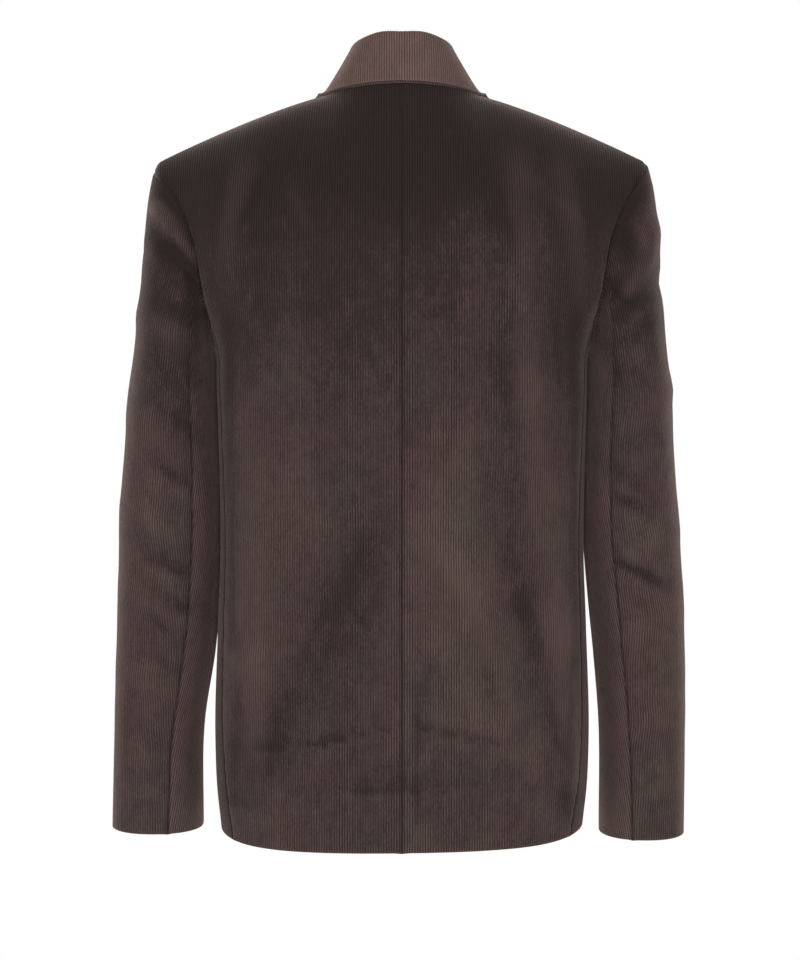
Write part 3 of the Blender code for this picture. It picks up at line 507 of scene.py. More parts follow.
# the shoulder's end moves down the cap, and the armhole's seam with it
def overShoulder(grids, hand, seamLine, backCount, backRow, frontRow):
    base = sleeves["rows"][0]
    cap = grids["topSleeve"]
    grids["back"], grids["front"] = grids["back"].copy(), grids["front"].copy()
    reach = lengthsAlong(seamLine, 0)
    away = np.abs(reach - reach[backCount - 1])
    for c in range(len(seamLine)):
        move = sleeves["shoulderOver"][hand] * (1 - ease(away[c] / sleeves["shoulderOverReach"]))
        if move < 0.05:
            continue
        downward = cap[base:, c][::-1].copy()
        cap[base:, c] = movedEnd(cap[base:, c], None, -move)
        if c < backCount:
            row = grids["back"][backRow + c]
            row[:] = movedEnd(row, downward, move)
            row[-1] = cap[-1, c]
        if c >= backCount - 1:
            row = grids["front"][frontRow - (c - backCount + 1)]
            row[:] = movedEnd(row[::-1], downward, move)[::-1]
            row[0] = cap[-1, c]


def buildPanels():
    back = bodyGrid(backLevel, backTop, body["backLeaves"], lambda s: ease((0.75 - s) / 0.25))
    nearNeck = lambda s: ease((s - 0.25) / 0.25) * ease((1 - s) / 0.2)
    front = bodyGrid(frontLevel, frontTop, body["frontLeaves"], nearNeck)
    shares = np.linspace(0, 1, body["columns"] + 1)
    front[:, :, 2] -= body["frontHemDrop"] * hemShare(front) * shares[None, :] ** 2
    side = sideGrid()
    backEdge = back[body["rows"][0] :, -1]
    frontEdge = front[body["rows"][0] :, 0]
    elbow, forearm = sleeves["elbowSeamRow"], sleeves["forearmSeamRow"]
    over = np.concatenate([backEdge[elbow:], frontEdge[forearm:-1][::-1]])
    ahead, beneath = frontEdge[: forearm + 1][::-1], side[-1][1:-1][::-1]
    under = np.concatenate([ahead, beneath, backEdge[: elbow + 1]])
    turned = sleeves["forearmTurn"]
    panels = {}
    for hand in ("left", "right"):
        grids = {
            "back": back,
            "side": side,
            "front": front,
            "topSleeve": sleeveGrid(over, elbowTurn, lambda z: turned, hand),
            "underSleeve": sleeveGrid(under, lambda z: turned, lambda z: elbowTurn(z) - 360, hand),
        }
        rows = body["rows"][0] + elbow, len(front) - 1
        overShoulder(grids, hand, over, len(backEdge) - elbow, *rows)
        for name, grid in grids.items():
            grid = grid.copy() if hand == "left" else mirrored(grid)
            if "Sleeve" not in name:
                grid[:, :, 2] += hemShift(grid)
            panels[name + "." + hand] = grid
    return panels


def settled(panels):  # one normal where pieces meet, then the folds, and the seams kept together
    meeting = {}
    normals = {}
    inward = {}
    for name, grid in panels.items():
        normals[name] = normalsOf(grid)
        into = np.zeros(grid.shape)
        for here, within in ((0, 1), (-1, -2)):
            into[:, here] += unitRows(grid[:, within] - grid[:, here])
            into[here] += unitRows(grid[within] - grid[here])
        inward[name] = into
        rows, columns = grid.shape[:2]
        for r in range(rows):
            for c in range(columns) if r in (0, rows - 1) else (0, columns - 1):
                meeting.setdefault(tuple(np.round(grid[r, c], 2) + 0.0), []).append((name, r, c))
    inset = {name: body["seamGap"] * vectors for name, vectors in inward.items()}
    for places in meeting.values():
        if len(places) < 2:
            continue
        mean = unit(sum(normals[n][r, c] + unit(inward[n][r, c]) for n, r, c in places))
        total = sum(inward[n][r, c] for n, r, c in places)
        for n, r, c in places:
            mine = inward[n][r, c]
            inset[n][r, c] = body["seamGap"] * unit(mine - (total - mine) / (len(places) - 1))
        for n, r, c in places:
            normals[n][r, c] = mean
    depths = {}
    outer = {}
    for name, grid in panels.items():
        depths[name] = foldsOn(name, grid)
        shift = depths[name] + (underLap(grid) if name == "front.right" else 0.0)
        outer[name] = grid + normals[name] * shift[:, :, None] + inset[name]
    return outer, normals, depths


print("forming the panels")
panels, panelNormals, panelFolds = settled(buildPanels())


# the cloth's surface: rows of points that keep to the wales, several to each
def joinChains(a, aPlace, b, bPlace):  # triangles between two chains of points, a below b
    made = []
    i = j = 0
    while i < len(a) - 1 or j < len(b) - 1:
        if j == len(b) - 1 or (i < len(a) - 1 and aPlace[i + 1] <= bPlace[j + 1]):
            made.append((a[i], b[j], a[i + 1]))
            i += 1
        else:
            made.append((a[i], b[j], b[j + 1]))
            j += 1
    return made


def makeMesh(name, points, quads, triangles):
    mesh = bpy.data.meshes.new(name)
    points = (np.asarray(points, float) - np.array([0.0, napeBack, 0.0])) * mm
    quads = np.asarray(quads, np.int32).reshape(-1, 4)
    triangles = np.asarray(triangles, np.int32).reshape(-1, 3)
    corners = np.concatenate([quads.ravel(), triangles.ravel()])
    totals = np.concatenate([np.full(len(quads), 4), np.full(len(triangles), 3)]).astype(np.int32)
    starts = np.concatenate([[0], np.cumsum(totals)[:-1]]).astype(np.int32)
    mesh.vertices.add(len(points))
    mesh.vertices.foreach_set("co", points.ravel())
    mesh.loops.add(len(corners))
    mesh.loops.foreach_set("vertex_index", corners)
    mesh.polygons.add(len(totals))
    mesh.polygons.foreach_set("loop_start", starts)
    mesh.polygons.foreach_set("loop_total", totals)
    mesh.update(calc_edges=True)
    mesh.validate()
    mesh.shade_smooth()
    mesh.set_sharp_from_angle(angle=math.radians(78))
    thing = bpy.data.objects.new(name, mesh)
    bpy.context.scene.collection.objects.link(thing)
    return thing


def note(thing, name, values):  # a number or vector kept on every point of a piece
    values = np.asarray(values, np.float32)
    kind, key = ("FLOAT", "value") if values.ndim == 1 else ("FLOAT_VECTOR", "vector")
    layer = thing.data.attributes.new(name, kind, "POINT")
    layer.data.foreach_set(key, values.ravel())


def atEdgeRows(layers, grid):  # more rows close to the lower and upper edges
    spacing = np.linalg.norm(grid[1] - grid[0], axis=1).mean()
    topSpacing = np.linalg.norm(grid[-1] - grid[-2], axis=1).mean()
    low = [d / spacing for d in cloth["edgeRows"] if d < 0.8 * spacing]
    high = [1 - d / topSpacing for d in reversed(cloth["edgeRows"]) if d < 0.8 * topSpacing]
    made = []
    for layer in layers:
        first = [layer[0] + (layer[1] - layer[0]) * f for f in low]
        last = [layer[-2] + (layer[-1] - layer[-2]) * f for f in high]
        parts = (layer[:1], first, layer[1:-1], last, layer[-1:])
        made.append(np.concatenate([np.array(part) for part in parts if len(part)]))
    return made


def roundedDrop(distance, radius):
    short = np.clip(1 - distance / radius, 0, 1)
    return radius * (1 - np.sqrt(1 - short * short))


def fading(distance, reach):
    return np.exp(-((distance / reach) ** 2))


def areaOf(grid):  # each cell as two triangles
    a, b, c, d = grid[:-1, :-1], grid[1:, :-1], grid[:-1, 1:], grid[1:, 1:]
    crossed = (np.cross(b - a, c - a), np.cross(d - b, d - c))
    return sum(np.linalg.norm(cross, axis=2).sum() / 2 for cross in crossed)


def rowPart(chain, low, high):  # a row's points between two wale points, or from and to its ends
    begin, first, last, places = chain
    a = 0 if low is None else 1 + low - first
    b = len(places) - 1 if high is None else 1 + high - first
    return list(range(begin + a, begin + b + 1)), places[a : b + 1]


def joinRows(below, above, low=None, high=None):
    return joinChains(*rowPart(below, low, high), *rowPart(above, low, high))


def outerFaces(chains):  # squares where two rows share their wale points, triangles at the ends
    quads, triangles = [], []
    for below, above in zip(chains, chains[1:]):
        low, high = max(below[1], above[1]), min(below[2], above[2])
        if high <= low:
            triangles += joinRows(below, above)
            continue
        k = np.arange(low, high)
        a, b = (chain[0] + 1 + k - chain[1] for chain in (below, above))
        quads.append(np.stack([a, b, b + 1, a + 1], 1))
        triangles += joinRows(below, above, high=low) + joinRows(below, above, low=high)
    return quads, triangles


cuts = {}  # width, length and area of each piece before it was hung


def clothPiece(name, grid, normals, wale, fold, edges, number, thick=cloth["thickness"]):
    tone = paintedLightAndToneOf(name, grid, fold)
    grid, normals, wale, fold, tone = atEdgeRows((grid, normals, wale, fold, tone), grid)
    normals = unitRows(normals)
    rows, columns = wale.shape
    along, across = lengthsAlong(grid, 0), lengthsAlong(grid, 1)
    away = {"left": across, "right": across[:, -1:] - across}
    away.update(bottom=along, top=along[-1:] - along)
    reach = {"seam": np.full(wale.shape, 99.0), "free": np.full(wale.shape, 99.0)}
    for side, kind in edges.items():
        if kind in reach:
            reach[kind] = np.minimum(reach[kind], away[side])
    seam, free = reach["seam"], reach["free"]

    step = cloth["waleWidth"] / cloth["pointsPerWale"]
    radius = cloth["edgeRound"] * thick
    indexes = np.arange(columns)
    chains, table = [], []
    count = 0
    for r in range(rows):
        first = math.ceil(wale[r, 0] / step + 0.3)
        last = math.floor(wale[r, -1] / step - 0.3)
        inner = np.arange(first, last + 1) * step
        places = np.concatenate([[wale[r, 0]], inner, [wale[r, -1]]])
        where = np.interp(places, wale[r], indexes)
        packed = np.stack([fold[r], along[r], tone[r]], 1)
        packed = np.concatenate([grid[r], normals[r], packed], 1)
        packed = smoothAt(indexes, packed, where)
        toSeam, toFree = (np.interp(where, indexes, distance[r]) for distance in (seam, free))
        phase = (places / cloth["waleWidth"]) % 1.0
        relief = 1 - np.abs(2 * phase - 1) ** 3
        up = cloth["waleDepth"] * (relief - 0.5)
        up = up - cloth["seamDrop"] * fading(toSeam, cloth["seamReach"])
        up = up - roundedDrop(toFree, radius)
        point = packed[:, :3] + unitRows(packed[:, 3:6]) * up[:, None]
        shade, lightened = fading(toSeam, cloth["seamShadow"]), fading(toFree, cloth["edgeRubbed"])
        own = np.full(len(places), float(number))
        kept = (relief, places, packed[:, 7], own, shade, lightened, packed[:, 6], packed[:, 8])
        table.append(np.column_stack((point, *kept)))
        chains.append((count, first, last, places))
        count += len(places)
    quads, triangles = outerFaces(chains)

    # the inner face has fewer points, and strips close the four edges
    inner = np.round(np.linspace(0, columns - 1, cloth["insideCells"] + 1)).astype(int)
    inner = np.unique(inner)
    sink = cloth["seamDrop"] * fading(seam, cloth["seamReach"])
    rise = roundedDrop(free, radius) - thick - 0.4 * sink
    under = (grid + normals * rise[:, :, None])[:, inner].reshape(-1, 3)
    spare = len(under)
    ring = count + np.arange(spare).reshape(rows, -1)
    face = [ring[:-1, :-1], ring[:-1, 1:], ring[1:, 1:], ring[1:, :-1]]
    quads.append(np.stack(face, -1).reshape(-1, 4))
    for r, onward in ((0, 1), (rows - 1, -1)):
        outside, placed = rowPart(chains[r], None, None)
        inside = list(ring[r][::onward]), list((wale[r, inner] * onward)[::onward])
        triangles += joinChains(*inside, outside[::onward], list(placed * onward)[::onward])
    starts = np.array([chain[0] for chain in chains])
    ends = starts + [len(chain[3]) - 1 for chain in chains]
    quads.append(np.stack([ring[:-1, -1], ends[:-1], ends[1:], ring[1:, -1]], 1))
    quads.append(np.stack([ring[1:, 0], starts[1:], starts[:-1], ring[:-1, 0]], 1))

    layers = (wale, along, fading(seam, cloth["seamShadow"]), fold, tone)
    wales, lengths, shade, folded, toned = (layer[:, inner].ravel() for layer in layers)
    own, plain = np.full(spare, number + 0.5), np.zeros(spare)
    kept = (np.full(spare, 0.5), wales, lengths, own, shade, plain, folded, toned)
    table = np.concatenate([*table, np.column_stack((under, *kept))])
    thing = makeMesh(name, table[:, :3], np.concatenate(quads), triangles)
    columnsOf = {"wale": 3, "clothAt": slice(4, 7), "seam": 7, "free": 8, "fold": 9, "paintedLightAndTone": 10}
    for key, column in columnsOf.items():
        note(thing, key, table[:, column])
    note(thing, "inside", np.concatenate([np.zeros(count), np.ones(spare)]))
    area = areaOf(grid) * mm * mm
    cuts[name] = (float(wale.max() - wale.min()) * mm, float(along[-1].max()) * mm, float(area))
    return thing


# painted light and shade on the pile, with a tone that darkens towards the top
paintedLightAndTone = {
    "upSlope": -1.6,  # painted shade on fold slopes that face down, painted highlight on those that face up
    # painted light and shade on fold slopes that face to the side
    "sideSlope": 0.3,
    # tone towards the top, and the heights where it starts and is complete
    "higher": ((-0.66, -470.0, -175.0), (-0.85, -190.0, -90.0)),
    # painted shade on the side panels, against the light that grazes them
    "sideTone": -0.9,
    "rightTone": 0.10,
    # painted light that lifts the shade on the under sleeves, where they turn towards the body
    "underSleeveTone": 0.8,
}


paintedRuns = {  # runs of painted light (+) and painted shade (-) along folds and creases and between sleeve and body: x, z, x, z, half width, tone
    "back": (
        (95, -330, 112, -560, 34, 0.26), (40, -455, 118, -640, 22, -0.55),
        (28, -500, 62, -610, 24, -0.35), (118, -590, 140, -670, 14, -0.3),
        (-22, -300, -58, -500, 30, 0.3), (-94, -300, -104, -440, 20, -0.22),
        (-82, -420, -112, -500, 12, -0.35), (-112, -500, -154, -640, 11, -0.5),
        (-50, -560, -120, -640, 24, 0.26), (-140, -380, -150, -540, 12, 0.22),
        (30, -655, -40, -668, 20, -0.32), (150, -110, 112, -210, 24, -0.3),
        (108, -150, 100, -260, 12, 0.26), (-60, -130, -66, -240, 20, 0.16),
        (-150, -120, -160, -260, 22, -0.2), (152, -540, 160, -690, 6, -0.6),
        (-162, -560, -156, -700, 6, -0.55), (166, -240, 162, -540, 6, -0.9),
        (-166, -240, -164, -560, 6, -0.9), (135, -636, 70, -628, 1.8, -0.5),
        (72, -628, 3, -610, 1.6, -0.6), (-11, -612, -60, -622, 1.6, -0.55),
        (-60, -622, -101, -633, 1.8, -0.5), (45, -672, -55, -668, 2.2, -0.45),
        (-14, -585, -14, -700, 2, -0.45), (-6, -590, -6, -700, 3.5, 0.3),
    ),
    "left": (
        (226, -108, 196, -166, 8, -1.4), (244, -124, 196, -180, 6, 1.25),
        (248, -120, 240, -142, 9, 0.5), (248, -150, 192, -194, 8, -1.6),
        (202, -196, 197, -262, 4, -0.9), (236, -190, 200, -206, 9, -0.3),
        (250, -212, 194, -228, 9, -0.7), (258, -252, 240, -430, 14, 0.4),
        (206, -262, 196, -292, 6, -0.7), (214, -330, 196, -346, 7, -0.5),
        (262, -470, 252, -640, 14, 0.2), (232, -500, 206, -512, 10, -0.35),
    ),
    "right": (
        (-228, -104, -202, -150, 6, -1), (-244, -112, -226, -164, 9, 0.85),
        (-210, -156, -240, -196, 12, -1.5), (-246, -176, -204, -204, 9, -1.1),
        (-232, -206, -202, -232, 9, -0.3), (-252, -196, -244, -236, 6, 0.45),
        (-250, -232, -210, -250, 10, -0.45), (-196, -258, -206, -286, 6, -0.7),
        (-256, -300, -250, -460, 14, 0.3), (-210, -380, -232, -398, 7, -0.45),
        (-262, -500, -252, -660, 14, 0.3), (-212, -470, -240, -486, 9, -0.35),
    ),
}


def paintedRunsTone(name, grid):
    behind = ease((grid[..., 1] + 40.0) / 60.0)
    hand = other = "back"
    across, share = -0.9, 0.6  # the front repeats the back's runs, narrower and weaker
    if "Sleeve" in name:
        hand, other = handsOf(name)
        across, share = -1.0, 1.0
    shown = foldDepth(grid, paintedRuns[hand])
    away = foldDepth(grid * np.array([across, 1.0, 1.0]), paintedRuns[other])
    return (shown * behind + share * away * (1 - behind)) / folds["deeper"]


def paintedLightAndToneOf(name, grid, fold):  # painted light and shade on the pile, with a tone that darkens towards the top, 0 in the middle
    if "ollar" in name:
        return np.zeros(fold.shape)
    up, side = (
        np.gradient(fold, axis=axis)
        / np.maximum(np.linalg.norm(np.gradient(grid, axis=axis), axis=2), 0.2)
        for axis in (0, 1)
    )
    height = grid[..., 2]
    tone = sum(tone * ease((height - low) / (high - low)) for tone, low, high in paintedLightAndTone["higher"])
    tone = tone + paintedLightAndTone["upSlope"] * up + paintedLightAndTone["sideSlope"] * side + paintedRunsTone(name, grid)
    if name.startswith("side"):
        tone = tone + paintedLightAndTone["sideTone"]
    if name.startswith("under"):
        tone = tone + paintedLightAndTone["underSleeveTone"] * ease((-190.0 - height) / 80.0)
    return tone + (paintedLightAndTone["rightTone"] if name.endswith("right") else 0.0)


def waleSteps(grid, yShare, zShare):  # step of the wale count from column to column
    x, y, z = np.moveaxis(np.diff(grid, axis=1), 2, 0)
    return np.sqrt(x**2 + yShare[:, None] * y**2 + zShare[:, None] * z**2)


def running(steps):  # sums from the first column on
    return np.concatenate([np.zeros((len(steps), 1)), np.cumsum(steps, axis=1)], axis=1)


def waleFrom(steps, column, value):  # wale count that has a value at a column, or between two
    run = running(np.maximum(steps, 0.02))
    spots = np.arange(run.shape[1])
    columns = np.broadcast_to(column, len(run))
    at = np.array([np.interp(c, spots, row) for c, row in zip(columns, run)])
    return run - at[:, None] + np.broadcast_to(value, len(run))[:, None]


def overCap(grid, counts, base):  # above the base row the wales stand upright, out from the crown
    columns = counts.shape[1]
    crown = int(np.argmax(grid[-1, :, 2]))
    part = grid[base:]
    rising = np.arange(len(part))[:, None] * 1e-6
    heights = np.maximum.accumulate(part[:, :, 2], axis=0) + rising
    levels = np.linspace(heights[0].min(), heights[-1, crown], 90)
    slices = np.zeros((len(levels), columns, 2))
    for c in range(columns):
        for k in (0, 1):
            slices[:, c, k] = np.interp(levels, heights[:, c], part[:, c, k])
    run = running(np.linalg.norm(np.diff(slices, axis=1), axis=2))
    run = run - run[:, crown : crown + 1]
    upright = np.zeros(heights.shape)
    for c in range(columns):
        reached = levels <= heights[-1, c]
        upright[:, c] = np.interp(heights[:, c], levels[reached], run[reached, c])
    change = (counts[base] - counts[base, crown]) - upright[0]
    fade = 1 - ease(np.arange(len(part)) / 14.0)
    made = counts.copy()
    made[base:] = counts[base, crown] + upright + change * fade[:, None]
    filled = running(np.maximum(np.diff(made[base:], axis=1), 0.05))
    made[base:] = filled - filled[:, crown : crown + 1] + counts[base, crown]
    return made


def panelWales(name, grid):
    rows, columns = grid.shape[:2]
    left = name.endswith("left")
    sign = 1 if left else -1
    lastColumn = columns - 1 if left else 0
    level, cap = sleeves["rows"]
    if "Sleeve" in name:
        up = np.clip((np.arange(rows) - level) / cap, 0, 1)
        steps = waleSteps(grid, np.ones(rows), 1 - 0.92 * up**0.7)
        if name.startswith("top"):
            heights = np.linspace(sleeves["cuffs"]["left"], sleeves["rings"][0][0], level + 1)
            turns = np.array([elbowTurn(z) for z in heights] + [elbowTurn(heights[-1])] * cap)
            share = turns / (turns - sleeves["forearmTurn"])
            share = share if left else 1 - share
            return overCap(grid, waleFrom(steps, share * (columns - 1), 0.0), level)
        lean = sign * sleeves["underWaleLean"] * grid[:, -1 if left else 0, 2]
        return waleFrom(steps, lastColumn, lean)
    if name.startswith("side"):
        steps = waleSteps(grid, np.ones(rows), np.full(rows, 0.2))
        return waleFrom(steps, (columns - 1) / 2, 1.0)
    up = yokeShare(rows) ** 0.8
    steps = waleSteps(grid, 1 - 0.88 * up, 1 - 0.8 * up)
    if name.startswith("back"):
        return waleFrom(steps, 0 if left else columns - 1, 0.0)
    end = grid[:, -1, 0] if left else -grid[:, 0, 0]
    return waleFrom(steps, lastColumn, -sign * (end + body["edgePastCentre"]))


# what lies on the panels
rayStart = -400.0  # in front of everything


def surfaceOf(sources):  # a tree to find places on, with its faces, points and normals
    points, normals, faces = [], [], []
    for grid, turned in sources:
        rows, columns = grid.shape[:2]
        base = len(points)
        points += [Vector(p) for p in grid.reshape(-1, 3)]
        normals += list(turned.reshape(-1, 3))
        for r in range(rows - 1):
            for c in range(columns - 1):
                a = base + r * columns + c
                faces.append((a, a + columns, a + columns + 1, a + 1))
    return BVHTree.FromPolygons(points, faces), faces, np.array(points), np.array(normals)


def seenAt(surface, x, z):  # place and normal of the surface behind a spot in front, and its face
    return surface[0].ray_cast(Vector((x, rayStart, z)), Vector((0, 1, 0)))[:3]


def softNormal(surface, face, spot):
    corners = list(surface[1][face])
    away = np.linalg.norm(surface[2][corners] - np.array(spot), axis=1)
    return unit((surface[3][corners] * (1.0 / (away**2 + 0.5))[:, None]).sum(0))


def laid(surface, point, height, hold):
    point = np.array(point, float)
    for again in range(4):
        spot, normal, face, reach = surface[0].find_nearest(Vector(point))
        if reach > 14.0 and hold < 0.9:
            return point
        gap = (Vector(point) - spot).dot(normal)
        wanted = max(height, gap + (height - gap) * hold) if again == 0 else max(height, gap)
        away = softNormal(surface, face, spot)
        point = point + away * (wanted - gap) / max(np.dot(away, normal), 0.6)
    return point


collar = {
    "thickness": 1.25,
    "layerGap": 0.25,
    "clear": 0.4,
    # share of the way round, fold x y z, edge x y z, roll radius
    "guides": (
        (0.00, 0.0, 58.0, 36.3, 0.0, 71.0, -6.0, 5.0),
        (0.15, 19.0, 55.5, 36.5, 25.0, 68.5, -6.6, 5.0),
        (0.30, 35.0, 43.0, 33.0, 54.0, 54.0, -9.0, 4.8),
        (0.45, 44.5, 25.0, 29.0, 70.0, 30.0, -12.0, 4.6),
        (0.60, 47.5, 0.0, 22.5, 80.0, 0.0, -16.0, 4.4),
        (0.70, 49.6, -15.0, 9.0, 89.5, -11.0, -24.0, 4.4),
        (0.82, 52.4, -35.0, -12.0, 98.0, -31.0, -36.0, 4.4),
        (1.00, 54.3, -53.3, -44.6, 113.0, -62.0, -63.0, 3.8),
    ),
    "cells": 60,
    "rows": (6, 10, 14),  # stand, roll and fall
    "smoothing": 10,
    "restsFrom": 0.8,  # share of the fall that hangs free of the back
    "footIn": 3.2,  # the stand is sewn in this far inside the neck
    "underShows": 2.0,
    "notch": (96.5, -80.5),
    "notchShare": 0.6,
    "notchFrom": 0.72,
}


def collarGrid(surface):
    guide = np.array(collar["guides"], float)
    shares = np.linspace(0, 1, collar["cells"] + 1)
    guides = smoothAt(guide[:, 0], guide[:, 1:], shares)
    seam = neckLine(shares)
    fold, edge, roll = guides[:, 0:3], guides[:, 3:6], guides[:, 6]
    run = np.gradient(fold, axis=0)
    run[0] = (1.0, 0.0, 0.0)
    lift = 2 * collar["thickness"] + collar["layerGap"] + collar["clear"]
    gorge = np.array([body["gorge"][0], body["gorge"][2]])
    corner = np.array([guide[-1][4], guide[-1][6]])
    atNotch, rests = collar["notchShare"], collar["restsFrom"]
    bend = np.array(collar["notch"]) - gorge - (corner - gorge) * atNotch
    standCells, rollCells, fallCells = collar["rows"]
    columns = []
    for i, share in enumerate(shares):
        ahead = unit(run[i])
        rise = fold[i] - seam[i]
        up = unit(rise) * min(1.0, np.linalg.norm(rise) / 12.0) + unit(fold[i] - edge[i])
        up = unit(up - ahead * np.dot(up, ahead))
        out = np.cross(up, ahead)
        out = unit(out * np.sign(np.dot(out, edge[i] - fold[i])))
        foot = seam[i] - out * collar["footIn"] + up * (1.1 + 1.5 * ease((share - 0.68) / 0.22))
        standTop = fold[i] - out * roll[i]
        column = [foot + (standTop - foot) * s for s in np.linspace(0, 1, standCells + 1)]
        for turn in np.linspace(0, math.pi, rollCells + 1)[1:]:
            column.append(fold[i] + roll[i] * (up * math.sin(turn) - out * math.cos(turn)))
        start, end = column[-1], edge[i]
        notched = ease((share - collar["notchFrom"]) / (1 - collar["notchFrom"])) ** 2
        for s in np.linspace(0, 1, fallCells + 1)[1:]:
            point = start + (end - start) * s + out * 0.4 * math.sin(math.pi * s)
            turned = min(s / atNotch, (1 - s) / (1 - atNotch)) * notched
            point = point + turned * np.array([bend[0], 0.0, bend[1]])
            hold = max(ease((s - rests) / (1 - rests)), notched * ease(s / 0.4))
            if notched > 0:
                hit, _, face = seenAt(surface, point[0], point[2])
                if hit is not None:
                    over = np.array(hit) + softNormal(surface, face, hit) * lift
                    point = point + (over - point) * notched * ease(s / 0.4)
            column.append(laid(surface, point, lift, hold))
        shows = collar["underShows"] * (1 - 0.85 * ease((share - 0.2) / 0.2))
        further = column[-1] + unit(column[-1] - column[-2]) * shows
        column.append(laid(surface, further, lift, 1.0))
        columns.append(column)
    half = np.array(columns).transpose(1, 0, 2)
    low = standCells + rollCells + 1
    for again in range(collar["smoothing"]):
        beside = (half[low:, :-2] + half[low:, 2:]) / 2
        half[low:, 1:-1] = (half[low:, 1:-1] + beside) / 2
    for row in half[low:]:
        row[:] = [laid(surface, point, lift, 0.0) for point in row]
    for again in range(2):
        beside = (half[1:-2, :-2] + half[1:-2, 2:]) / 2
        half[1:-2, 1:-1] += (beside - half[1:-2, 1:-1]) * 0.4
    return np.concatenate([half[:, :0:-1] * flip, half], 1)


lapel = {
    "tip": (129.0, -110.0),
    "belly": ((22.0, -335.0), (104.0, -225.0)),
    "ends": (7.0, 4.5),  # how far below the break it is looked for, and how far above it starts
    "topGap": 1.4,
    "cells": 22,
    "roll": 2.5,
    "gap": 0.9,
    "spring": 3.5,
    "waleLean": 25.3,  # degrees, as the turned front carries its upright wales over the roll
}


def lapelGrid(front, frontNormals):
    surface = surfaceOf([(front, frontNormals)])
    below, above = lapel["ends"]
    keep = front[:, -1, 2] > body["breakHeight"] - below
    line = front[keep, -1].copy()
    start = body["breakHeight"] + above
    line[0] += (line[1] - line[0]) * (start - line[0, 2]) / (line[1, 2] - line[0, 2])
    line[-1] += unit(line[-2] - line[-1]) * lapel["topGap"]
    along = lengthsAlong(line, 0)
    run = np.gradient(line, axis=0)
    radius = lapel["roll"]
    ends = [(-body["edgePastCentre"], body["breakHeight"]), *lapel["belly"], lapel["tip"]]
    rows = []
    for spot, normal, ahead, reached in zip(line, frontNormals[keep, -1], run, along / along[-1]):
        share = 0.03 + 0.97 * reached
        centre = unit(np.cross(normal, ahead))
        centre *= -np.sign(centre[0])
        row = []
        for turn in np.linspace(-math.pi / 2, math.pi / 2, 9):
            out = lapel["gap"] + radius * math.sin(turn)
            row.append(spot + centre * (0.35 + radius * math.cos(turn)) + normal * out)
        bend = bezier(share, *np.array(ends, float))
        for s in np.linspace(0, 1, lapel["cells"] + 1)[1:]:
            x = spot[0] + (bend[0] - spot[0]) * s
            z = spot[2] + (bend[1] - spot[2]) * s
            hit, _, face = seenAt(surface, x, z)
            if hit is None:  # just past the edge, where the lapel starts to turn
                hit, _, face, _ = surface[0].find_nearest(Vector((x, spot[1], z)))
            spring = lapel["spring"] * share * math.sin(math.pi * s) * (1 - 0.5 * s)
            away = softNormal(surface, face, hit)
            row.append(np.array(hit) + away * (lapel["gap"] + radius + spring))
        rows.append(row)
    return np.array(rows)[:, ::-1]


def edgesOf(name, left="seam", right="seam", bottom="free", top="seam"):
    if name.endswith("right"):
        left, right = right, left
    return {"left": left, "right": right, "bottom": bottom, "top": top}


pieces = {}
for number, (name, grid) in enumerate(panels.items()):
    edges = edgesOf(name, right="roll" if name.startswith("front") else "seam")
    laidOut = (grid, panelNormals[name], panelWales(name, grid), panelFolds[name], edges)
    pieces[name] = clothPiece(name, *laidOut, number)
    print("cloth laid:", name, len(pieces[name].data.polygons), "faces")

print("turning the collar over")
trunk = [name for name in panels if "Sleeve" not in name]
shown = collarGrid(surfaceOf([(panels[name], panelNormals[name]) for name in trunk]))
under = shown + normalsOf(shown) * (collar["thickness"] + collar["layerGap"])
for name, grid, start in (("topCollar", shown[:-1], 0.0), ("underCollar", under, 1.0)):
    grid = grid[::-1]
    wale = lengthsAlong(grid, 1)
    wale = wale - wale[:, collar["cells"]][:, None] + start
    laidOut = (grid, normalsOf(grid), wale, np.zeros(wale.shape), edgesOf(name, "free", "free"))
    pieces[name] = clothPiece(name, *laidOut, len(pieces), collar["thickness"])

print("pressing the lapels")
lean = math.radians(lapel["waleLean"])
for name in ("lapel.left", "lapel.right"):
    front = name.replace("lapel", "front")
    sources = (panels[front], panelNormals[front])
    grid = lapelGrid(*(sources if name.endswith("left") else map(mirrored, sources)))
    leaning = grid[..., 0] * math.cos(lean) - grid[..., 2] * math.sin(lean)
    rolled = np.linalg.norm(np.diff(grid, axis=1), axis=2)
    steps = np.maximum(-np.diff(leaning, axis=1), 0.2 * rolled)
    steps = np.where(np.arange(steps.shape[1]) >= lapel["cells"] - 1, rolled, steps)
    wale = waleFrom(steps, 0, -leaning[:, 0])
    if name.endswith("right"):
        grid, wale = mirrored(grid), -wale[:, ::-1]
    edges = edgesOf(name, "free", "roll", top="free")
    laidOut = (grid, normalsOf(grid), wale, np.zeros(wale.shape), edges)
    pieces[name] = clothPiece(name, *laidOut, len(pieces))


# small round things: the buttons' thread and the buttonholes' stitches are closed tubes
tubeEnds = {  # the squares that close a tube of so many sides
    6: ((0, 1, 2, 3), (3, 4, 5, 0)),
    8: ((0, 1, 2, 3), (0, 3, 4, 7), (4, 5, 6, 7)),
}


def ringOf(middle, aside, high, sides):
    turns = np.arange(sides)[:, None] * 2 * math.pi / sides
    return list(middle + aside * np.cos(turns) + high * np.sin(turns))


def addTube(points, quads, rings):
    begin, sides = len(points), len(rings[0])
    points += [point for ring in rings for point in ring]
    final = len(points) - sides
    for a in range(begin, final, sides):
        for j in range(sides):
            k = (j + 1) % sides
            quads.append((a + j, a + k, a + sides + k, a + sides + j))
    quads += [[begin + k for k in reversed(end)] for end in tubeEnds[sides]]
    quads += [[final + k for k in end] for end in tubeEnds[sides]]


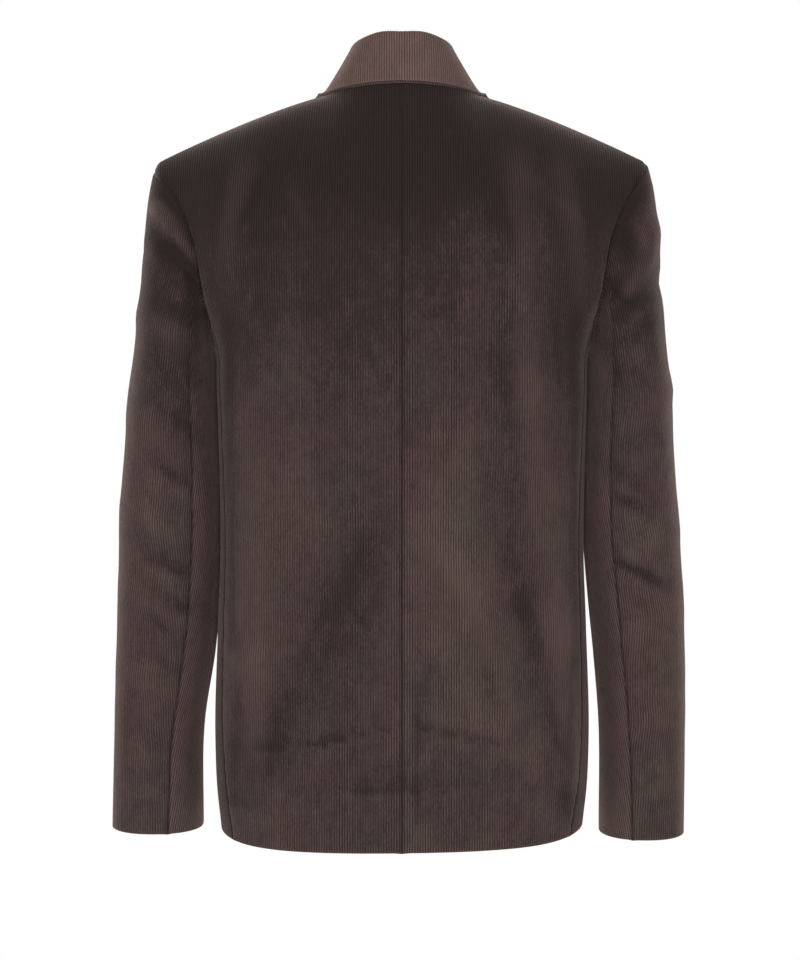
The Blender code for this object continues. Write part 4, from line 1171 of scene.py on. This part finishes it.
button = {
    "heights": {"upper": -400.0, "lower": -505.0},
    "radius": 10.0,
    # dished middle, turned rim and back: share of the radius and height
    "dish": ((0.0, 2.5), (0.55, 2.55)),
    "rim": ((0.7, 3.1), (0.8, 3.6), (0.93, 3.5), (1.0, 2.7), (1.0, 1.8), (0.93, 0.7), (0.8, 0.1)),
    "sides": 96,
    "gap": 0.6,
    "holeOut": 2.3,
    "holeRadius": 0.95,
    "holeDepth": 1.5,
    "threadRadius": 0.42,
    "threadFlat": 1.5,
    "threadFrom": 1.8,
    "threadRises": (1.32, 1.82),  # one thread crosses over the other
}


def buttonMesh(name, spot, normal):
    normal = unit(normal)
    across = unit(np.cross(normal, [0.0, 0.0, 1.0]))
    up = np.cross(across, normal)
    base = spot + normal * button["gap"]
    corner = button["holeOut"] / math.sqrt(2)
    shares, heights = zip(*button["dish"])
    line = [(share, np.interp(share, shares, heights)) for share in np.arange(0.04, 0.56, 0.03)]
    line += button["rim"]
    sides = button["sides"]
    turns = np.arange(sides) * 2 * math.pi / sides
    points = [base + normal * heights[0]]
    for share, height in line:
        x, y = share * button["radius"] * np.cos(turns), share * button["radius"] * np.sin(turns)
        reach = np.hypot(np.abs(x) - corner, np.abs(y) - corner) / button["holeRadius"]
        height = height - button["holeDepth"] * (1 - ease((reach - 0.75) / 0.4))
        points += list(base + x[:, None] * across + y[:, None] * up + height[:, None] * normal)
    points.append(base)
    own = len(points)
    around = np.arange(sides)
    after = (around + 1) % sides
    last = own - 1 - sides
    triangles = [(0, 1 + b, 1 + a) for a, b in zip(around, after)]
    triangles += [(last + a, last + b, own - 1) for a, b in zip(around, after)]
    quads = []
    for a in range(1, last, sides):
        quads += list(np.stack([a + around, a + after, a + sides + after, a + sides + around], 1))
    for turned, rise in zip((1, -1), button["threadRises"]):
        line = []
        for t in np.linspace(0, 1, 11):
            x, y = (2 * t - 1) * corner, (2 * t - 1) * corner * turned
            height = button["threadFrom"] + rise * math.sin(math.pi * t) ** 0.45
            line.append(base + across * x + up * y + normal * height)
        run = unitRows(np.gradient(np.array(line), axis=0))
        aside = unitRows(np.cross(run, normal))
        high = np.cross(aside, run) * button["threadRadius"]
        aside = aside * button["threadRadius"] * button["threadFlat"]
        addTube(points, quads, [ringOf(*ring, 8) for ring in zip(line, aside, high)])
    thing = makeMesh(name, points, quads, triangles)
    note(thing, "thread", np.arange(len(points)) >= own)
    return thing


print("sewing on the buttons")
frontSurface = surfaceOf([(panels["front.left"], panelNormals["front.left"])])
for place, height in button["heights"].items():
    hit, normal, _ = seenAt(frontSurface, 0.0, height)
    pieces["button." + place] = buttonMesh("button." + place, np.array(hit), np.array(normal))

buttonhole = {
    "length": 23.0,
    "width": 2.6,
    "pastCentre": 3.0,
    "slit": 0.22,
    "endGap": 0.33,
    "endStitch": (-0.5, 0.7),
    "stitches": 26,
    "stitchRadius": 0.28,
    "swelling": ((-0.1, 0.35), (0.15, 1.0), (0.5, 1.15), (0.85, 1.0), (1.1, 0.35)),
    "out": 0.35,
}


def buttonholeMesh(name, height):  # a close row of stitches round the slit, mostly under the button
    half, wide, count = buttonhole["length"] / 2, buttonhole["width"] / 2, buttonhole["stitches"]
    stitches = []
    for i in range(count):
        x = -half + 2 * half * (i + 0.5) / count
        stitches += [((x, buttonhole["slit"] * side), (x, side)) for side in (-wide, wide)]
    back, ahead = buttonhole["endStitch"]
    for x in (-half, half):
        sides = [side * buttonhole["endGap"] * wide for side in (-2, -1, 0, 1, 2)]
        stitches += [((x + back, side), (x + ahead, side)) for side in sides]
    points, quads = [], []
    for stitch in stitches:
        spots = []
        for u, v in stitch:
            middle = half - buttonhole["pastCentre"]
            hit, normal, _ = seenAt(frontSurface, middle + u, height + v)
            spots.append((np.array(hit) + np.array(normal) * buttonhole["out"], np.array(normal)))
        (start, high), (end, _) = spots
        aside = unit(np.cross(unit(end - start), high))
        rings = []
        for t, size in buttonhole["swelling"]:
            radius = buttonhole["stitchRadius"] * size
            rings.append(ringOf(start + (end - start) * t, aside * radius, high * radius, 6))
        addTube(points, quads, rings)
    thing = makeMesh(name, points, quads, [])
    note(thing, "thread", np.ones(len(points)))
    return thing


holes = [buttonholeMesh("buttonhole." + place, z) for place, z in button["heights"].items()]


# materials
class Number:  # a socket in the shader that can stand in a sum
    def __init__(self, paint, socket):
        self.paint = paint
        self.socket = socket

    def maths(self, operation, *others):
        sockets = dict(enumerate((self.socket, *others)))
        made = self.paint.node("Math", {"operation": operation}, sockets)
        return Number(self.paint, made.outputs[0])

    def __add__(self, other):
        return self.maths("ADD", other)

    def __sub__(self, other):
        return self.maths("SUBTRACT", other)

    def __mul__(self, other):
        return self.maths("MULTIPLY", other)

    def __truediv__(self, other):
        return self.maths("DIVIDE", other)

    def __rsub__(self, other):
        return Number(self.paint, other).maths("SUBTRACT", self)

    def __rtruediv__(self, other):
        return Number(self.paint, other).maths("DIVIDE", self)

    __radd__ = __add__
    __rmul__ = __mul__

    def whole(self):
        return self.maths("FLOOR")

    def clamped(self):
        return self.maths("MAXIMUM", 0.0).maths("MINIMUM", 1.0)

    def ramp(self, low, high):  # soft step from 0 at low to 1 at high
        sockets = {"Value": self, "From Min": low, "From Max": high}
        made = self.paint.node("MapRange", {"interpolation_type": "SMOOTHSTEP"}, sockets)
        return Number(self.paint, made.outputs["Result"])


class Paint:  # the nodes of a material or of a world
    def __init__(self, owner, shader, sockets):
        owner.use_nodes = True
        self.owner = owner
        self.nodes = owner.node_tree.nodes
        self.links = owner.node_tree.links
        self.shader = self.nodes[shader]
        self.fill(self.shader, sockets)

    def fill(self, made, sockets):
        for key, value in sockets.items():
            value = value.socket if isinstance(value, Number) else value
            if isinstance(value, bpy.types.NodeSocket):
                self.links.new(value, made.inputs[key])
            else:
                made.inputs[key].default_value = value

    def node(self, kind, settings, sockets):
        made = self.nodes.new("ShaderNode" + kind)
        for key, value in settings.items():
            setattr(made, key, value)
        self.fill(made, sockets)
        return made

    def output(self, kind, name):
        return self.node(kind, {}, {}).outputs[name]

    def kept(self, name):  # a number kept on the points of the piece
        made = self.node("Attribute", {"attribute_name": name}, {})
        return Number(self, made.outputs["Fac"])

    def vector(self, name):
        return self.node("Attribute", {"attribute_name": name}, {}).outputs["Vector"]

    def parts(self, vector):
        made = self.node("SeparateXYZ", {}, {0: vector})
        return [Number(self, socket) for socket in made.outputs]

    def joined(self, x, y, z):
        return self.node("CombineXYZ", {}, {0: x, 1: y, 2: z}).outputs[0]

    def noise(self, vector, scale, detail=2.0, rough=0.5):
        sockets = {"Vector": vector, "Scale": scale, "Detail": detail, "Roughness": rough}
        return Number(self, self.node("TexNoise", {}, sockets).outputs["Fac"])

    def mix(self, factor, first, second):
        sockets = {0: factor, 6: first, 7: second}
        return self.node("Mix", {"data_type": "RGBA", "blend_type": "MIX"}, sockets).outputs[2]

    def bump(self, strength, distance, height):
        sockets = {"Strength": strength, "Distance": distance, "Height": height}
        self.fill(self.shader, {"Normal": self.node("Bump", {}, sockets).outputs[0]})


def newPaint(name, sockets):
    return Paint(bpy.data.materials.new(name), "Principled BSDF", sockets)


corduroyCloth = {
    "light": (0.100, 0.074, 0.061, 1.0),
    "rosy": (0.114, 0.069, 0.062, 1.0),
    "dark": (0.041, 0.026, 0.0235, 1.0),
    "flatPileAndShade": (0.026, 0.0165, 0.0150, 1.0),  # pile that lies flat, and painted shade
    "raisedPileAndHighlight": (0.150, 0.098, 0.088, 1.0),  # pile that stands up, and painted highlight
    # painted shade in the wale grooves and along the seams
    "grooveShade": (0.013, 0.0078, 0.0070, 1.0),
    # worn pile at free edges, also the painted highlight on fold ridges
    "wornAndHighlight": (0.125, 0.080, 0.070, 1.0),
    "backing": (0.060, 0.043, 0.038, 1.0),
    "sheenColour": (0.95, 0.73, 0.66, 1.0),
    "sheenWeight": 0.5,
    "sheenRoughness": 0.35,
    "grooveShare": 1.0,
    "grooveBreak": 1.1,  # how much the tufts close a groove here and there
    "seamShade": 0.75,
    "rubbedEdge": 0.55,
    # painted highlight on fold ridges
    "foldRidgeHighlight": 0.10,
    "paintedLightShare": 0.55,  # how much the painted light and shade move the pile's tone
    "twillPitch": 0.9,
    "fibreBump": 0.3,
    # how fast the pile's tone changes across and along the wales and from piece to piece,
    # the detail and roughness of its noise, and its weight in the tone
    "patches": (0.012, 0.007, 3.7, 3.0, 0.55, 0.95),
    "streaks": (0.73, 0.045, 5.1, 3.0, 0.6, 0.7),
    "tufts": (0.55, 0.30, 2.3, 3.0, 0.65, 1.9),
    "clouds": (0.07, 0.06, 4.3, 3.0, 0.6, 0.9),
    "fibres": (5.5, 1.6, 1.9, 3.0, 0.65, 0.9),
    "hues": (0.014, 0.011, 6.1, 4.0, 0.55, 0.0),
}


def corduroyMaterial(name, looks):
    fixed = {"Roughness": 0.92, "Specular IOR Level": 0.18}
    fixed.update({"Sheen Weight": looks["sheenWeight"], "Sheen Roughness": looks["sheenRoughness"]})
    paint = newPaint(name, {**fixed, "Sheen Tint": looks["sheenColour"]})
    across, along, panel = paint.parts(paint.vector("clothAt"))
    relief = paint.kept("wale")
    inside = paint.kept("inside").ramp(0.2, 0.8)
    waleNumber = (across / cloth["waleWidth"]).whole()

    def noiseOf(kind, sideways=across):
        side, on, piece, detail, rough, _ = looks[kind]
        where = paint.joined(sideways * side, along * on, panel * piece)
        return paint.noise(where, 1.0, detail, rough)

    def weighed(kind, noise):
        return (noise - 0.5) * looks[kind][-1]

    # brushed pile: slow patches, a streak in each wale and short tufts
    patches, streaks = noiseOf("patches"), noiseOf("streaks", waleNumber)
    tufts, clouds, fibres = noiseOf("tufts"), noiseOf("clouds"), noiseOf("fibres")
    slow = weighed("patches", patches) + weighed("clouds", clouds) + weighed("streaks", streaks)
    # painted light and shade on the pile, kept on the points
    paintedLightLevel = paint.kept("paintedLightAndTone")
    pile = 0.5 + slow + weighed("tufts", tufts) + weighed("fibres", fibres)
    pile = pile + paintedLightLevel * looks["paintedLightShare"]
    rosy = noiseOf("hues").ramp(0.3, 0.7)
    light = paint.mix(rosy, looks["light"], looks["rosy"])
    colour = paint.mix(pile.clamped(), looks["dark"], light)
    # painted shade pulls the colour towards flat pile, painted highlight towards raised pile
    colour = paint.mix((paintedLightLevel * -0.45 - pile * 0.5).clamped(), colour, looks["flatPileAndShade"])
    colour = paint.mix((paintedLightLevel * 0.35 + (pile - 1.0) * 0.6).clamped(), colour, looks["raisedPileAndHighlight"])
    # painted shade in the wale grooves, broken here and there by the tufts
    depth = (1 - relief + (tufts - 0.5) * looks["grooveBreak"]).ramp(0.15, 0.95)
    colour = paint.mix(depth * looks["grooveShare"], colour, looks["grooveShade"])
    # worn pile, lighter at free edges, and a painted highlight on fold ridges
    lightened = paint.kept("free") * looks["rubbedEdge"] + paint.kept("fold") * looks["foldRidgeHighlight"]
    colour = paint.mix(lightened.clamped() * relief, colour, looks["wornAndHighlight"])
    shaded = (paint.kept("seam") * looks["seamShade"]).clamped()
    colour = paint.mix(shaded, colour, looks["grooveShade"])
    # the plain back of the cloth, a tight twill
    twill = ((across + along) * (math.pi / looks["twillPitch"])).maths("SINE") * 0.5 + 0.5
    plain = paint.mix(twill * 0.5 + tufts * 0.4, looks["dark"], looks["backing"])
    colour = paint.mix(inside, colour, plain)
    paint.fill(paint.shader, {"Base Color": colour})
    rough = 0.96 - relief * 0.1 + (fibres - 0.5) * 0.12
    paint.fill(paint.shader, {"Roughness": rough.clamped()})
    height = (fibres * 0.7 + tufts * 0.3) * (1 - inside) + twill * 0.25 * inside
    paint.bump(looks["fibreBump"], 0.0004, height)
    return paint.owner


# the same corduroy painted lighter on the collar, standing in for the light it catches
collarClothPaintedLighter = {
    **corduroyCloth,
    "light": (0.190, 0.124, 0.107, 1.0),
    "rosy": (0.204, 0.124, 0.112, 1.0),
    "dark": (0.118, 0.076, 0.067, 1.0),
    "flatPileAndShade": (0.105, 0.068, 0.060, 1.0),
    "raisedPileAndHighlight": (0.190, 0.125, 0.110, 1.0),
    "grooveShade": (0.036, 0.022, 0.019, 1.0),
    "wornAndHighlight": (0.200, 0.135, 0.120, 1.0),
}

buttonLooks = {
    "dark": (0.022, 0.013, 0.009, 1.0),
    "brown": (0.075, 0.043, 0.028, 1.0),
    "thread": (0.035, 0.023, 0.020, 1.0),
}


def buttonMaterial(name, looks):
    fixed = {"Specular IOR Level": 0.45, "Coat Roughness": 0.12, "Coat IOR": 1.5}
    paint = newPaint(name, fixed)
    where = paint.output("TexCoord", "Object")
    clouds = paint.noise(where, 90.0, 4.0, 0.6)
    specks = paint.noise(where, 900.0, 2.0, 0.5)
    thread = paint.kept("thread").ramp(0.2, 0.8)
    horn = (clouds * 1.2 + (specks - 0.5) * 0.5 - 0.1).clamped()
    horn = paint.mix(horn, looks["dark"], looks["brown"])
    paint.fill(paint.shader, {"Base Color": paint.mix(thread, horn, looks["thread"])})
    paint.fill(paint.shader, {"Roughness": (0.34 + clouds * 0.14 + thread * 0.5).clamped()})
    paint.fill(paint.shader, {"Coat Weight": (0.35 - thread * 0.35).clamped()})
    paint.bump(0.15, 0.0002, specks + clouds)
    return paint.owner


def threadMaterial(name, looks):
    paint = newPaint(name, {"Specular IOR Level": 0.3})
    twist = paint.noise(paint.output("TexCoord", "Object"), 2600.0, 2.0, 0.6)
    paint.fill(paint.shader, {"Base Color": paint.mix(twist, looks["dark"], looks["thread"])})
    paint.fill(paint.shader, {"Roughness": 0.55 + twist * 0.3})
    return paint.owner


print("mixing the materials")
corduroy = corduroyMaterial("brown corduroy", corduroyCloth)
collarCorduroyPaintedLighter = corduroyMaterial("collar corduroy painted lighter", collarClothPaintedLighter)
hornButton = buttonMaterial("dark horn button", buttonLooks)
holeThread = threadMaterial("buttonhole thread", buttonLooks)

# each piece takes the place of its solid, and says what cloth it was cut from
nodeNames = {
    "topSleeve": "top_sleeve",
    "underSleeve": "under_sleeve",
    "topCollar": "collar",
    "underCollar": "under_collar",
}
restsOn = {
    "topSleeve": ("back", "front"),
    "underSleeve": ("side", "topSleeve"),
    "lapel": ("front",),
    "topCollar": ("back",),
    "underCollar": ("back",),
}
materials = {
    "button": (hornButton, "button"),
    "topCollar": (collarCorduroyPaintedLighter, "collar_cloth"),
}
for name, piece in pieces.items():
    kind, _, part = name.partition(".")
    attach(piece, "root")
    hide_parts(nodeNames.get(kind, kind) + ("_" + part if part else ""))
    material, slot = materials.get(kind, (corduroy, "corduroy"))
    piece.data.materials.append(material)
for hole in holes:
    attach(hole, "root")
    hole.data.materials.append(holeThread)
for name, (wide, long, area) in cuts.items():
    kind, _, hand = name.partition(".")
    hands = (hand,) if hand else ("left", "right")
    under = [pieces[other + "." + side] for other in restsOn.get(kind, ()) for side in hands]
    area = max(min(area, wide * long), 0.3 * wide * long)

# floor, light and camera
studio = {
    "backdrop": 1.0,
    "surround": (0.30, 1.0),  # from the camera's side, then from behind the jacket
    "surroundFades": (0.2, -0.8),
    # place, power and size of each soft light
    "lights": {
        "leftSoft": ((1.5, 1.9, 0.75), 17.0, 1.2),
        "rightSoft": ((-1.6, 1.9, 0.35), 10.0, 1.2),
        "lowFill": ((0.1, 2.4, -0.95), 11.0, 1.2),
        "facing": ((0.0, 2.9, -0.2), 16.0, 0.9),
        "frontSoft": ((1.7, -2.2, 0.3), 34.0, 1.6),
        "frontFill": ((-1.9, -2.0, -0.2), 26.0, 1.6),
    },
    "aim": (0.0, 0.0, -0.33),
    "floorTones": ((0.84, 0.84, 0.84, 1.0), (0.8, 0.8, 0.8, 1.0)),
    "floorHeight": -1.45,
    "floorHalf": 1.45,
    "lens": 85.1,
    "sensor": 36.0,
    "shift": (-2 / 960, -100 / 960),
    "camera": (0.0, 2.156, -0.2907),
}


def placed(name, data, spot):
    thing = bpy.data.objects.new(name, data)
    thing.location = spot
    bpy.context.scene.collection.objects.link(thing)
    return thing


def areaLight(name, spot, power, size):
    light = bpy.data.lights.new(name, "AREA")
    light.energy = power
    light.size = size
    lamp = placed(name, light, spot)
    away = Vector(studio["aim"]) - Vector(spot)
    lamp.rotation_euler = away.to_track_quat("-Z", "Y").to_euler()
    return lamp


def setFloor():
    half, low = studio["floorHalf"], studio["floorHeight"]
    corners = [(-half, -half, low), (half, -half, low), (half, half, low), (-half, half, low)]
    mesh = bpy.data.meshes.new("floor")
    mesh.from_pydata(corners, [], [(0, 1, 2, 3)])
    floor = placed("floor", mesh, (0.0, 0.0, 0.0))
    paint = newPaint("pale floor", {"Roughness": 0.9, "Specular IOR Level": 0.1})
    clouds = paint.noise(paint.output("TexCoord", "Object"), 3.0)
    paint.fill(paint.shader, {"Base Color": paint.mix(clouds * 0.3, *studio["floorTones"])})
    mesh.materials.append(paint.owner)


def setWorld():  # the camera sees the backdrop, and the jacket a studio that is lighter in front
    white = {"Color": (1.0, 1.0, 1.0, 1.0)}
    paint = Paint(bpy.data.worlds.new("studio"), "Background", white)
    _, height, _ = paint.parts(paint.output("TexCoord", "Generated"))
    sockets = dict(zip(("From Min", "From Max"), studio["surroundFades"]))
    sockets.update(zip(("To Min", "To Max"), studio["surround"]))
    fade = paint.node("MapRange", {}, {**sockets, "Value": height}).outputs["Result"]
    sockets = {"B": studio["backdrop"], "Factor": paint.output("LightPath", "Is Camera Ray")}
    level = paint.node("Mix", {}, {**sockets, "A": fade}).outputs["Result"]
    paint.fill(paint.shader, {"Strength": level})
    bpy.context.scene.world = paint.owner


def setCamera():
    camera = bpy.data.cameras.new("camera")
    camera.lens = studio["lens"]
    camera.sensor_width = studio["sensor"]
    camera.shift_x, camera.shift_y = studio["shift"]
    holder = placed("camera", camera, studio["camera"])
    holder.rotation_euler = (math.radians(90), 0.0, math.radians(180))
    bpy.context.scene.camera = holder
    bpy.context.scene.view_settings.view_transform = "Standard"


print("setting the studio")
setFloor()
setWorld()
for name, light in studio["lights"].items():
    areaLight(name, *light)
setCamera()
